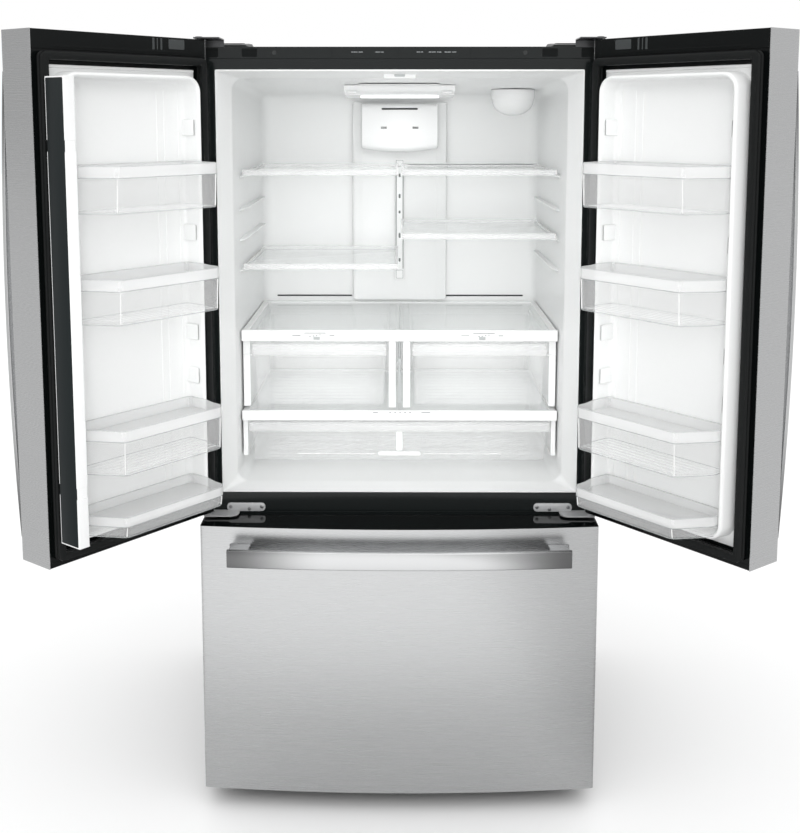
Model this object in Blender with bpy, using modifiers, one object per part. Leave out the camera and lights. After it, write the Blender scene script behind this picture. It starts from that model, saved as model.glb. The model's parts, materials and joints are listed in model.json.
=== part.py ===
"""A free-standing french door refrigerator with a bottom freezer drawer, doors open.

Metres, +Z up, +Y towards the wall behind it. Everything is modelled from the cabinet's front
flange plane (y = 0) and carried by one empty that centres the object over its origin. Each door
is modelled closed, from its hinge pin, and turned open by its own empty.
"""

import math

import bmesh
import bpy

# Driving dimensions
GAP = 0.0003  # running gap between pieces that touch
SHEET = 0.001  # outer steel sheet
WALL = 0.003  # moulded plastic wall
FLANGE_Y = -0.1559  # flange plane in the object's frame, so that the origin is under its middle

CASE_HALF = 0.454
CASE_TOP = 1.750
CASE_DEPTH = 0.746
CASE_BOTTOM = 0.040
FRAME_DEPTH = 0.012
OPENING_HALF = 0.4133
FRESH_BOTTOM, FRESH_TOP = 0.7250, 1.7000
FREEZER_BOTTOM, FREEZER_TOP = 0.0900, 0.6550
STRIP_BOTTOM = 1.7240  # seam between the flange and the control strip

LIP_DEPTH = 0.070  # the liner's flared front lip
LINER_HALF_FRONT, LINER_HALF_BACK = 0.386, 0.383
LINER_BACK = 0.628
FLOOR_FRONT, FLOOR_BACK = 0.745, 0.748
CEILING_FRONT, CEILING_BACK = 1.683, 1.657
LINER_CORNER = 0.028

HUMP_Y, HUMP_TOP = 0.430, 0.3403  # the machine compartment's step inside the freezer
FREEZER_HALF = 0.403
FREEZER_BACK = 0.628

SHELF_FRONT, SHELF_BACK = 0.160, 0.575
SHELF_HALF = 0.3775
SHELF_TRIM = 0.015
UPPER_SHELF, LOWER_RIGHT_SHELF, LOWER_LEFT_SHELF = 1.470, 1.3165, 1.2425
SPARE_LEDGE = 1.390
COVER_HALF = 0.3815
COVER_BACK = 0.611
CRISPER_COVER_TOP, CRISPER_COVER_FRONT = 1.084, 0.137
DELI_COVER_TOP, DELI_COVER_FRONT = 0.888, 0.125
SLIDER_X = 0.200

PIN_X, PIN_Y = 0.442, -0.030  # hinge pin of each door
PIN_RADIUS = 0.0045
DOOR_OPEN_DEG = 128.0
DOOR_BOTTOM, DOOR_TOP = 0.686, 1.764
DOOR_LOW_U, DOOR_HIGH_U = -0.010, 0.440  # from the pin: hinge edge and free edge
DOOR_BACK = 0.009  # inner face of the door shell, from the pin
FRONT_AT_CENTRE, FRONT_BOW, BOW_HALF = -0.118, 0.0245, 0.452
DOOR_CORNER = 0.006
LINER_U = (0.0263, 0.4057)
LINER_Z = (0.7253, 1.6967)
DIKE_U = (0.045, 0.402)
DIKE_Z = (0.742, 1.683)
DIKE_WALL, DIKE_HEIGHT = 0.012, 0.055
GASKET_U = (0.002, 0.430)
GASKET_Z = (0.7015, 1.7225)
GASKET_WIDTH, GASKET_FACE = 0.0185, 0.0297
BIN_HEIGHTS = ((1.405, 1.500), (1.185, 1.278), (0.880, 0.975), (0.752, 0.797))
BIN_WALL = 0.0025

MULLION_U, MULLION_V = (0.408, 0.434), (0.033, 0.101)
MULLION_Z = (0.7480, 1.672)
MULLION_PIVOT = (0.421, 0.046)
MULLION_HINGES = (0.860, 1.540)

HANDLE_WIDTH, HANDLE_THICK = 0.036, 0.011
DOOR_HANDLE_U, DOOR_HANDLE_Z = 0.400, (0.720, 1.686)
HANDLE_REACH, HANDLE_BOW = 0.033, 0.024

DRAWER_HALF = 0.4515
DRAWER_BOTTOM, DRAWER_TOP = 0.045, 0.676
DRAWER_BACK = -0.021
DRAWER_HANDLE_HALF, DRAWER_HANDLE_Z = 0.384, (0.600, 0.641)
DRAWER_HANDLE_REACH = 0.053

FAN_Z, FAN_RADIUS, FAN_Y = 0.575, 0.052, 0.581
EVAPORATOR_COVER_Y = 0.560

MATERIALS = {  # colour, roughness, metallic, alpha
    "stainless_steel": ((0.62, 0.62, 0.61), 0.30, 1.0, 1.0),
    "case_paint": ((0.045, 0.048, 0.047), 0.50, 0.0, 1.0),
    "black_plastic": ((0.012, 0.014, 0.014), 0.25, 0.0, 1.0),
    "white_plastic": ((0.86, 0.87, 0.87), 0.35, 0.0, 1.0),
    "clear_plastic": ((0.90, 0.92, 0.92), 0.10, 0.0, 0.35),
    "shelf_glass": ((0.88, 0.93, 0.92), 0.05, 0.0, 0.35),
    "gasket_rubber": ((0.020, 0.022, 0.022), 0.60, 0.0, 1.0),
    "zinc_steel": ((0.60, 0.61, 0.62), 0.40, 1.0, 1.0),
    "compressor_paint": ((0.015, 0.015, 0.016), 0.45, 0.0, 1.0),
    "aluminium": ((0.75, 0.76, 0.77), 0.35, 1.0, 1.0),
}


def clear_scene():
    for scene_object in list(bpy.data.objects):
        bpy.data.objects.remove(scene_object, do_unlink=True)


def new_collection(name):
    collection = bpy.data.collections.new(name)
    bpy.context.scene.collection.children.link(collection)
    return collection


clear_scene()
PARTS = new_collection("french_door_refrigerator")
CUTTERS = new_collection("cutters")


def material(name):
    found = bpy.data.materials.get(name)
    if found:
        return found
    colour, roughness, metallic, alpha = MATERIALS[name]
    made = bpy.data.materials.new(name)
    made.use_nodes = True
    shader = made.node_tree.nodes["Principled BSDF"]
    shader.inputs["Base Color"].default_value = (*colour, 1.0)
    shader.inputs["Roughness"].default_value = roughness
    shader.inputs["Metallic"].default_value = metallic
    shader.inputs["Alpha"].default_value = alpha
    return made


# Solids, each as a closed bmesh


def tapered(y, front, back):
    """A box along Y whose ends differ: front and back are ((x low, x high), (z low, z high))."""
    bm = bmesh.new()
    bmesh.ops.create_cube(bm, size=1.0)
    for vertex in bm.verts:
        x_range, z_range = back if vertex.co.y > 0 else front
        vertex.co.x = x_range[vertex.co.x > 0]
        vertex.co.z = z_range[vertex.co.z > 0]
        vertex.co.y = y[vertex.co.y > 0]
    return bm


def cuboid(x, y, z):
    return tapered(y, (x, z), (x, z))


def both_sides(x, y, z):
    """The box and its mirror image across the middle plane."""
    return group(cuboid(x, y, z), cuboid((-x[1], -x[0]), y, z))


def cylinder(centre, radius, z, axis="Z", segments=16):
    """A cylinder along an axis; centre gives its two other coordinates, in X, Y, Z order."""
    points = [
        (
            centre[0] + radius * math.cos(math.tau * i / segments),
            centre[1] + radius * math.sin(math.tau * i / segments),
        )
        for i in range(segments)
    ]
    return prism(points, z, axis)


def prism(outline, extent, axis="Z"):
    """A flat outline pushed along an axis between the two values of extent."""
    place = {
        "X": lambda a, b, c: (c, a, b),
        "Y": lambda a, b, c: (a, c, b),
        "Z": lambda a, b, c: (a, b, c),
    }[axis]
    bm = bmesh.new()
    face = bm.faces.new([bm.verts.new(place(a, b, extent[0])) for a, b in outline])
    far = bmesh.ops.extrude_face_region(bm, geom=[face])["geom"]
    moved = [item for item in far if isinstance(item, bmesh.types.BMVert)]
    bmesh.ops.translate(bm, verts=moved, vec=place(0, 0, extent[1] - extent[0]))
    bmesh.ops.recalc_face_normals(bm, faces=bm.faces)
    return bm


def group(*solids):
    """Several solids that stay clear of each other, as one mesh."""
    whole = bmesh.new()
    for solid in solids:
        part = bpy.data.meshes.new("group")
        solid.to_mesh(part)
        solid.free()
        whole.from_mesh(part)
        bpy.data.meshes.remove(part)
    return whole


def round_edges(bm, axis, radius, segments=3):
    """Rounds the edges that run mostly along one axis (0, 1 or 2)."""
    edges = []
    for edge in bm.edges:
        run = edge.verts[1].co - edge.verts[0].co
        if abs(run[axis]) > 0.9 * run.length:
            edges.append(edge)
    bmesh.ops.bevel(
        bm, geom=edges, offset=radius, segments=segments, profile=0.5, affect="EDGES", offset_type="OFFSET"
    )
    return bm


def tube(points, radius):
    """A round bar through the points, as a closed mesh."""
    curve = bpy.data.curves.new("tube", "CURVE")
    curve.dimensions = "3D"
    curve.bevel_depth = radius
    curve.bevel_resolution = 2
    curve.use_fill_caps = True
    spline = curve.splines.new("POLY")
    spline.points.add(len(points) - 1)
    for point, place in zip(spline.points, points):
        point.co = (*place, 1.0)
    guide = bpy.data.objects.new("tube", curve)
    PARTS.objects.link(guide)
    graph = bpy.context.evaluated_depsgraph_get()
    mesh = bpy.data.meshes.new_from_object(guide.evaluated_get(graph))
    bpy.data.objects.remove(guide, do_unlink=True)
    bm = bmesh.new()
    bm.from_mesh(mesh)
    bmesh.ops.remove_doubles(bm, verts=bm.verts, dist=1e-6)
    return bm


# Objects


def empty(name, location, parent=None, turn_deg=0.0):
    made = bpy.data.objects.new(name, None)
    made.location = location
    made.rotation_euler = (0.0, 0.0, math.radians(turn_deg))
    made.parent = parent
    PARTS.objects.link(made)
    return made


def add_object(name, solid, collection, parent, side):
    if side < 0:
        bmesh.ops.scale(solid, verts=solid.verts, vec=(-1.0, 1.0, 1.0))
        bmesh.ops.recalc_face_normals(solid, faces=solid.faces)
    mesh = bpy.data.meshes.new(name)
    solid.to_mesh(mesh)
    solid.free()
    made = bpy.data.objects.new(name, mesh)
    made.parent = parent
    collection.objects.link(made)
    return made


def add_boolean(target, solid, operation, side):
    name = f"{target.name}_{operation.lower()}_{len(target.modifiers)}"
    helper = add_object(name, solid, CUTTERS, target.parent, side)
    helper.hide_render = True
    helper.display_type = "WIRE"
    modifier = target.modifiers.new(name, "BOOLEAN")
    modifier.operation = operation
    modifier.object = helper


def piece(name, material_name, solids, cuts=(), parent=None, side=1, bevel=0.0):
    """One sub-part: its solids joined, its cuts taken away, and its sharp edges bevelled."""
    made = add_object(name, solids[0], PARTS, parent, side)
    made.data.materials.append(material(material_name))
    for solid in solids[1:]:
        add_boolean(made, solid, "UNION", side)
    for solid in cuts:
        add_boolean(made, solid, "DIFFERENCE", side)
    if bevel:
        modifier = made.modifiers.new("rounding", "BEVEL")
        modifier.width = bevel
        modifier.segments = 2
        modifier.limit_method = "ANGLE"
        modifier.angle_limit = math.radians(50)
        modifier.use_clamp_overlap = True
    made.data.set_sharp_from_angle(angle=math.radians(35))
    return made


# Shared shapes


def bow(x):
    """The bowed front of the closed doors and of the drawer, at x from the middle."""
    return FRONT_AT_CENTRE + FRONT_BOW * (x / BOW_HALF) ** 2


def front_section(low, high, front, back, inset, steps=8):
    """The plan of a bowed panel from its back edge round the front and back, moved in by inset."""
    radius = DOOR_CORNER
    points = [(low + inset, back)]
    for i in range(3):
        angle = math.radians(180 + 45 * i)
        centre = (low + radius, front(low + radius) + radius)
        reach = radius - inset
        points.append((centre[0] + reach * math.cos(angle), centre[1] + reach * math.sin(angle)))
    for i in range(1, steps):
        x = low + radius + (high - low - 2 * radius) * i / steps
        points.append((x, front(x) + inset))
    for i in range(3):
        angle = math.radians(270 + 45 * i)
        centre = (high - radius, front(high - radius) + radius)
        reach = radius - inset
        points.append((centre[0] + reach * math.cos(angle), centre[1] + reach * math.sin(angle)))
    points.append((high - inset, back))
    return points


def skin_outline(section):
    """Outer face and, one sheet further in, inner face of a wrapped steel panel."""
    return section(0.0) + list(reversed(section(SHEET)))


def ring(x, z, width, y):
    """A flat rectangular ring between two y values, and the box that opens it."""
    hole = cuboid(
        (x[0] + width, x[1] - width), (y[0] - 0.01, y[1] + 0.01), (z[0] + width, z[1] - width)
    )
    return cuboid(x, y, z), hole


def tray(x, y, z, wall, lip=None, corner=0.008):
    """An open-topped box and the space cut out of it; lip is a (y, z) pull along its front."""
    outer = round_edges(cuboid(x, y, z), 2, corner)
    inner = cuboid(
        (x[0] + wall, x[1] - wall), (y[0] + wall, y[1] - wall), (z[0] + wall, z[1] + 0.01)
    )
    solids = [outer]
    if lip:
        solids.append(cuboid((x[0] + 0.004, x[1] - 0.004), lip[0], lip[1]))
    return solids, [round_edges(inner, 2, corner - wall)]


# Cabinet


def cabinet_wrapper(parent):
    outer, inner = CASE_HALF, CASE_HALF - SHEET
    outline = [
        (-outer, CASE_BOTTOM),
        (-outer, CASE_TOP - SHEET),
        (-inner, CASE_TOP),
        (inner, CASE_TOP),
        (outer, CASE_TOP - SHEET),
        (outer, CASE_BOTTOM),
        (inner, CASE_BOTTOM),
        (inner, CASE_TOP - SHEET),
        (-inner, CASE_TOP - SHEET),
        (-inner, CASE_BOTTOM),
    ]
    piece("cabinet_wrapper", "case_paint", [prism(outline, (0.0, CASE_DEPTH), "Y")], parent=parent)


def front_frame(parent):
    half = CASE_HALF - SHEET - GAP
    plate = cuboid((-half, half), (0.0, FRAME_DEPTH), (CASE_BOTTOM, STRIP_BOTTOM - GAP))
    through = (-0.01, FRAME_DEPTH + 0.01)
    openings = group(
        cuboid((-OPENING_HALF, OPENING_HALF), through, (FRESH_BOTTOM, FRESH_TOP)),
        cuboid((-OPENING_HALF, OPENING_HALF), through, (FREEZER_BOTTOM, FREEZER_TOP)),
    )
    piece("front_frame", "black_plastic", [plate], [openings], parent)


def control_panel(parent):
    half = CASE_HALF - SHEET - GAP
    strip = cuboid((-half, half), (0.0, FRAME_DEPTH), (STRIP_BOTTOM, CASE_TOP - SHEET - GAP))
    piece("control_panel", "black_plastic", [strip], parent=parent)


def wall_ledges():
    """Ledges along both side walls that carry the shelves, just under their edges."""
    ledges = []
    for top in (UPPER_SHELF, SPARE_LEDGE, LOWER_RIGHT_SHELF, LOWER_LEFT_SHELF):
        top -= 0.0125 + GAP
        ledges.append(both_sides((0.3690, 0.3885), (SHELF_FRONT + 0.02, SHELF_BACK), (top - 0.006, top)))
    return group(*ledges)


def fresh_food_liner(parent):
    front = OPENING_HALF - GAP
    outer = tapered(
        (0.0005, LINER_BACK + 0.008),
        ((-front, front), (FRESH_BOTTOM + GAP, FRESH_TOP - GAP)),
        ((-0.392, 0.392), (FRESH_BOTTOM + GAP, 1.668)),
    )
    mouth = front - 0.0025
    sill = FRESH_BOTTOM + 0.0025
    lip_ends = (
        ((-mouth, mouth), (sill, FRESH_TOP - 0.003)),
        (
            (-LINER_HALF_FRONT, LINER_HALF_FRONT),
            (FLOOR_FRONT, CEILING_FRONT),
        ),
    )
    lip = tapered((-0.010, LIP_DEPTH), *lip_ends)
    sill_step = cuboid((-mouth, mouth), (-0.010, 0.032), (sill, FLOOR_FRONT + 0.010))
    room = round_edges(
        tapered(
            (LIP_DEPTH - 0.012, LINER_BACK),
            lip_ends[1],
            ((-LINER_HALF_BACK, LINER_HALF_BACK), (FLOOR_BACK, CEILING_BACK)),
        ),
        1,
        LINER_CORNER,
    )
    made = piece("fresh_food_liner", "white_plastic", [outer], [lip, sill_step, room], parent)
    guide = cuboid((-0.035, 0.035), (0.034, 0.060), (1.6805, 1.6950))
    for solid in (wall_ledges(), guide):
        add_boolean(made, solid, "UNION", 1)


def freezer_liner(parent):
    wall = 0.010
    half = OPENING_HALF - GAP
    low, high = FREEZER_BOTTOM + GAP, FREEZER_TOP - GAP
    back = FREEZER_BACK + wall
    outer = [
        (0.0005, low),
        (0.0005, high),
        (back, high),
        (back, HUMP_TOP - wall),
        (HUMP_Y + wall, HUMP_TOP - wall),
        (HUMP_Y + wall, low),
    ]
    inner = [
        (-0.010, low + wall),
        (-0.010, high - wall),
        (FREEZER_BACK, high - wall),
        (FREEZER_BACK, HUMP_TOP),
        (HUMP_Y, HUMP_TOP),
        (HUMP_Y, low + wall),
    ]
    made = piece(
        "freezer_liner",
        "white_plastic",
        [prism(outer, (-half, half), "X")],
        [prism(inner, (-FREEZER_HALF, FREEZER_HALF), "X")],
        parent,
    )
    rails = both_sides((0.3905, FREEZER_HALF + 0.001), (0.060, 0.415), (0.400, 0.428))
    add_boolean(made, rails, "UNION", 1)


def ceiling_light(parent):
    """The lamp housing, with the low vent grille in front of it, under the sloping ceiling."""

    def ceiling(y):
        slope = (CEILING_BACK - CEILING_FRONT) / (LINER_BACK - LIP_DEPTH)
        return CEILING_FRONT + slope * (y - LIP_DEPTH) - 0.0006

    outline = [
        (0.215, ceiling(0.215)),
        (0.420, ceiling(0.420)),
        (0.420, 1.6420),
        (0.312, 1.6480),
        (0.300, 1.6620),
        (0.215, 1.6680),
    ]
    piece("ceiling_light", "white_plastic", [prism(outline, (-0.1375, 0.1375), "X")], parent=parent)


def air_tower(parent):
    back = LINER_BACK - 0.0006
    tower = cuboid((-0.130, 0.130), (0.598, back), (1.088, 1.634))
    hood = round_edges(cuboid((-0.104, 0.104), (0.556, 0.610), (1.498, 1.632)), 1, 0.020)
    slots = group(
        cuboid((-0.049, 0.049), (0.54, 0.580), (1.6135, 1.6185)),
        both_sides((0.033, 0.053), (0.54, 0.580), (1.5635, 1.5670)),
    )
    piece("air_tower", "white_plastic", [tower, hood], [slots], parent)


def filter_housing(parent):
    """The round cover of the water filter, a flattened dome that hangs from the ceiling."""
    top, bottom, radius = 1.6618, 1.596, 0.0575
    rings = 6
    profile = [(0.0, top), (radius, top)]
    for i in range(rings + 1):
        angle = math.radians(90 * i / rings)
        profile.append((radius * math.cos(angle), bottom + 0.045 * (1 - math.sin(angle))))
    bm = bmesh.new()
    vertices = [bm.verts.new((r, 0.0, z)) for r, z in profile]
    for a, b in zip(vertices, vertices[1:]):
        bm.edges.new((a, b))
    made = add_object("filter_housing", bm, PARTS, parent, 1)
    made.location = (0.296, 0.450, 0.0)
    made.data.materials.append(material("white_plastic"))
    screw = made.modifiers.new("turned", "SCREW")
    screw.steps = screw.render_steps = 24
    screw.use_merge_vertices = True
    screw.merge_threshold = 0.0001
    screw.use_normal_calculate = True


def shelf_track(parent):
    rail = cuboid((-0.013, 0.013), (0.583, 0.5975), (1.146, 1.480))
    piece("shelf_track", "zinc_steel", [rail], parent=parent, bevel=0.003)


def shelf(name, x, top, parent):
    """A glass plate in a frame with a deeper front trim and a low rear stop."""
    low = top - SHELF_TRIM
    plate_low, plate_high = top - 0.0125, top - 0.0055
    outline = [
        (SHELF_FRONT, low),
        (SHELF_FRONT, top),
        (SHELF_FRONT + 0.010, top),
        (SHELF_FRONT + 0.012, plate_high),
        (SHELF_BACK - 0.010, plate_high),
        (SHELF_BACK - 0.008, top - 0.001),
        (SHELF_BACK, top - 0.001),
        (SHELF_BACK, plate_low),
        (SHELF_FRONT + 0.012, plate_low),
        (SHELF_FRONT + 0.010, low),
    ]
    piece(name, "shelf_glass", [prism(outline, x, "X")], parent=parent)


def crisper_cover(parent):
    """Glass cover with its front trim, hollow side rails and the hollow divider between crispers."""
    top, front = CRISPER_COVER_TOP, CRISPER_COVER_FRONT
    plate = cuboid((-COVER_HALF, COVER_HALF), (front + 0.002, COVER_BACK), (top - 0.011, top - 0.003))
    trim = cuboid((-COVER_HALF, COVER_HALF), (front, front + 0.012), (top - 0.028, top))
    rails_z = (DELI_COVER_TOP + 0.0025, top - 0.008)
    rails = both_sides((0.3625, COVER_HALF), (0.160, 0.600), rails_z)
    divider = cuboid((-0.0265, 0.0265), (0.147, 0.600), rails_z)
    hollow_z = (rails_z[0] - 0.01, top - 0.016)
    hollows = group(
        both_sides((0.3655, COVER_HALF - 0.003), (0.163, 0.597), hollow_z),
        cuboid((-0.0235, 0.0235), (0.150, 0.597), hollow_z),
    )
    slots = both_sides(
        (SLIDER_X - 0.036, SLIDER_X + 0.036), (front - 0.01, front + 0.0045), (1.0600, 1.0690)
    )
    piece("crisper_cover", "shelf_glass", [plate, trim, rails, divider], [hollows, slots], parent)


def deli_cover(parent):
    top, front = DELI_COVER_TOP, DELI_COVER_FRONT
    plate = cuboid((-COVER_HALF, COVER_HALF), (front + 0.002, COVER_BACK), (top - 0.010, top - 0.003))
    trim = cuboid((-COVER_HALF, COVER_HALF), (front, front + 0.012), (top - 0.025, top))
    rails = both_sides((0.3700, COVER_HALF), (0.140, 0.600), (FLOOR_BACK + 0.024, top - 0.008))
    piece("deli_cover", "shelf_glass", [plate, trim, rails], parent=parent)


def humidity_slider(name, side, parent):
    front = CRISPER_COVER_FRONT
    knob = cuboid((SLIDER_X - 0.008, SLIDER_X + 0.008), (front - 0.0025, front + 0.004), (1.0605, 1.0685))
    piece(name, "white_plastic", [knob], parent=parent, side=side, bevel=0.001)


def crisper(name, side, parent):
    y, z = (0.150, 0.580), (0.8925, 1.050)
    lip = ((0.1410, 0.1525), (1.020, z[1]))
    solids, cuts = tray((0.031, 0.357), y, z, WALL, lip)
    piece(name, "clear_plastic", solids, cuts, parent, side)


def deli_drawer(parent):
    y, z = (0.139, 0.585), (0.7560, 0.8580)
    lip = ((0.1300, 0.1415), (0.832, z[1]))
    solids, cuts = tray((-0.3655, 0.3655), y, z, WALL, lip)
    piece("deli_drawer", "clear_plastic", solids, cuts, parent)


def top_hinge(name, side, parent):
    """A stepped strap from the case top out over the door, with the pin that drops into the door."""
    low, step, thick = CASE_TOP + GAP, DOOR_TOP + 0.0015, 0.003
    strap = [
        (0.110, low),
        (0.110, low + thick),
        (0.0295, low + thick),
        (0.0295, step + thick),
        (-0.045, step + thick),
        (-0.045, step),
        (0.0265, step),
        (0.0265, low),
    ]
    pin = cylinder((PIN_X, PIN_Y), PIN_RADIUS, (DOOR_TOP - 0.024, step + 0.001))
    piece(name, "zinc_steel", [prism(strap, (0.395, 0.4525), "X"), pin], parent=parent, side=side)


def hinge_cover(name, side, parent):
    block = cuboid((0.345, 0.4525), (0.031, 0.170), (CASE_TOP + 0.0040, 1.775))
    hollow = cuboid((0.349, 0.4485), (0.035, 0.166), (CASE_TOP - 0.01, 1.770))
    piece(name, "black_plastic", [block], [hollow], parent, side, bevel=0.003)


def middle_hinge(name, side, parent):
    """A screwed plate on the crossbar with an arm forward under the door and its upright pin."""
    low = DRAWER_TOP + 0.0035
    plate = round_edges(cuboid((0.313, 0.403), (-0.0033, -GAP), (low, 0.700)), 1, 0.009)
    arm = round_edges(cuboid((0.372, 0.4525), (-0.043, -GAP), (low, low + 0.003)), 2, 0.009)
    pin = cylinder((PIN_X, PIN_Y), PIN_RADIUS, (low + 0.001, 0.706))
    piece(name, "zinc_steel", [plate, arm, pin], parent=parent, side=side)


def base_pan(parent):
    """The floor tray, its toe grille and four feet."""
    half, thick, low, high = CASE_HALF - SHEET - GAP, 0.003, 0.030, 0.060
    section = [
        (-half, high),
        (-half, low),
        (half, low),
        (half, high),
        (half - thick, high),
        (half - thick, low + thick),
        (-half + thick, low + thick),
        (-half + thick, high),
    ]
    front = FRAME_DEPTH + GAP
    tray_body = prism(section, (front, CASE_DEPTH - 0.006), "Y")
    toe = cuboid((-0.440, 0.440), (front, front + 0.004), (0.012, low + 0.002))
    feet = [
        cylinder((x, y), 0.018, (0.0, low + 0.001)) for x in (-0.40, 0.40) for y in (0.055, 0.700)
    ]
    piece("base_pan", "case_paint", [tray_body, toe, group(*feet)], parent=parent)


def back_panel(parent):
    half = CASE_HALF - SHEET - GAP
    sheet = cuboid((-half, half), (0.7415, 0.7445), (0.3205, CASE_TOP - SHEET - GAP))
    piece("back_panel", "zinc_steel", [sheet], parent=parent)


def rear_cover(parent):
    half = CASE_HALF - SHEET - 0.004
    sheet = cuboid((-half, half), (0.7415, 0.7445), (0.0625, 0.3190))
    slots = []
    for column in (-0.29, 0.0, 0.29):
        for row in range(5):
            z = 0.105 + 0.040 * row
            slots.append(cuboid((column - 0.085, column + 0.085), (0.73, 0.75), (z, z + 0.010)))
    piece("rear_cover", "case_paint", [sheet], [group(*slots)], parent)


def compressor(parent):
    """A domed steel can on a base plate."""
    rings, radius, low, high = 8, 0.078, 0.040, 0.225
    profile = []
    for i in range(rings + 1):
        angle = math.radians(90 - 180 * i / rings)
        bulge = abs(math.cos(angle)) ** 0.45
        height = (high + low) / 2 + (high - low) / 2 * math.copysign(abs(math.sin(angle)) ** 0.8, angle)
        profile.append((radius * bulge if 0 < i < rings else 0.0, height))
    bm = bmesh.new()
    vertices = [bm.verts.new((r, 0.0, z)) for r, z in profile]
    for a, b in zip(vertices, vertices[1:]):
        bm.edges.new((a, b))
    bmesh.ops.spin(
        bm,
        geom=bm.verts[:] + bm.edges[:],
        cent=(0, 0, 0),
        axis=(0, 0, 1),
        angle=math.tau,
        steps=20,
    )
    bmesh.ops.remove_doubles(bm, verts=bm.verts, dist=1e-5)
    bmesh.ops.translate(bm, verts=bm.verts, vec=(0.220, 0.600, 0.0))
    bmesh.ops.recalc_face_normals(bm, faces=bm.faces)
    plate = cuboid((0.110, 0.330), (0.520, 0.680), (0.0335, 0.0450))
    piece("compressor", "compressor_paint", [bm, plate], parent=parent)


def condenser_coil(parent):
    """One tube that runs to and fro across the machine compartment."""
    points, turn, rows = [], 0.020, 6
    for row in range(rows):
        z = 0.070 + 2 * turn * row
        ends = (-0.370, 0.060) if row % 2 == 0 else (0.060, -0.370)
        points += [(ends[0], 0.620, z), (ends[1], 0.620, z)]
        if row == rows - 1:
            break
        outward = 1 if ends[1] > ends[0] else -1
        for i in range(1, 4):
            angle = math.radians(-90 + 45 * i)
            points.append(
                (ends[1] + outward * turn * math.cos(angle), 0.620, z + turn * (1 + math.sin(angle)))
            )
    piece("condenser_coil", "compressor_paint", [tube(points, 0.003)], parent=parent)


def evaporator(parent):
    """A finned coil block: a rear spine with upright fins."""
    fins, half, front, back, spine = 18, 0.330, 0.578, 0.622, 0.010
    root_y = back - spine
    pitch = 2 * half / fins
    outline = [(-half, root_y), (-half, back), (half, back)]
    for i in range(fins):
        x = half - pitch * i
        inner = x - 0.4 * pitch
        outline += [(x, front), (inner, front), (inner, root_y)]
        if i < fins - 1:
            outline.append((x - pitch, root_y))
    piece("evaporator", "aluminium", [prism(outline, (0.345, 0.480))], parent=parent)


def evaporator_cover(parent):
    """The freezer's rear panel with the fan opening, a return slot and the fan motor behind."""
    half, y = FREEZER_HALF - 0.0006, EVAPORATOR_COVER_Y
    panel = cuboid((-half, half), (y, y + 0.004), (HUMP_TOP + 0.0006, FREEZER_TOP - 0.0112))
    opening = cylinder((0.0, FAN_Z), FAN_RADIUS + 0.004, (y - 0.01, y + 0.014), "Y", 32)
    returns = group(
        *[
            cuboid((x - 0.040, x + 0.040), (y - 0.01, y + 0.014), (0.352, 0.362))
            for x in (-0.26, -0.13, 0.0, 0.13, 0.26)
        ]
    )
    made = piece("evaporator_cover", "white_plastic", [panel], [opening, returns], parent)
    strut = cuboid((-0.072, 0.072), (y + 0.036, y + 0.041), (FAN_Z - 0.007, FAN_Z + 0.007))
    legs = both_sides((0.064, 0.072), (y + 0.003, y + 0.041), (FAN_Z - 0.007, FAN_Z + 0.007))
    motor = cylinder((0.0, FAN_Z), 0.019, (y + 0.034, y + 0.056), "Y")
    for solid in (legs, strut, motor):
        add_boolean(made, solid, "UNION", 1)


def evaporator_fan(parent):
    """A hub with five pitched blades, turning about its axis along Y."""
    hub = cylinder((0.0, 0.0), 0.016, (-0.009, 0.009), "Y", 20)
    blades = []
    for i in range(5):
        blade = cuboid((0.012, FAN_RADIUS), (-0.001, 0.001), (-0.015, 0.015))
        for vertex in blade.verts:
            height = vertex.co.z * (0.6 + 0.6 * vertex.co.x / FAN_RADIUS)
            vertex.co.z, vertex.co.y = height, vertex.co.y + 0.35 * height
        turn = math.tau * i / 5
        for vertex in blade.verts:
            x, z = vertex.co.x, vertex.co.z
            vertex.co.x = x * math.cos(turn) - z * math.sin(turn)
            vertex.co.z = x * math.sin(turn) + z * math.cos(turn)
        blades.append(blade)
    piece("evaporator_fan", "black_plastic", [hub, group(*blades)], parent=parent)


# Doors, each from its hinge pin: u towards the free edge, v into the cabinet


def door_front(u):
    return bow(PIN_X - u) - PIN_Y


def door_section(inset):
    return front_section(DOOR_LOW_U, DOOR_HIGH_U, door_front, DOOR_BACK, inset)


def door_skin(label, side, parent):
    body = prism(skin_outline(door_section), (DOOR_BOTTOM, DOOR_TOP))
    piece(f"{label}_door_skin", "stainless_steel", [body], parent=parent, side=side)


def door_frame(label, side, parent):
    """The black core frame: end caps, edges and the border around the inner panel."""
    body = prism(door_section(SHEET + GAP), (DOOR_BOTTOM + GAP, DOOR_TOP - GAP))
    opening = cuboid((LINER_U[0] - GAP, LINER_U[1] + GAP), (-0.2, 0.1), (LINER_Z[0] - GAP, LINER_Z[1] + GAP))
    pin_holes = group(
        cylinder((0.0, 0.0), PIN_RADIUS + 0.0007, (DOOR_TOP - 0.026, DOOR_TOP + 0.01)),
        cylinder((0.0, 0.0), PIN_RADIUS + 0.0007, (DOOR_BOTTOM - 0.01, DOOR_BOTTOM + 0.022)),
    )
    piece(f"{label}_door_frame", "black_plastic", [body], [opening, pin_holes], parent, side)


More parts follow.
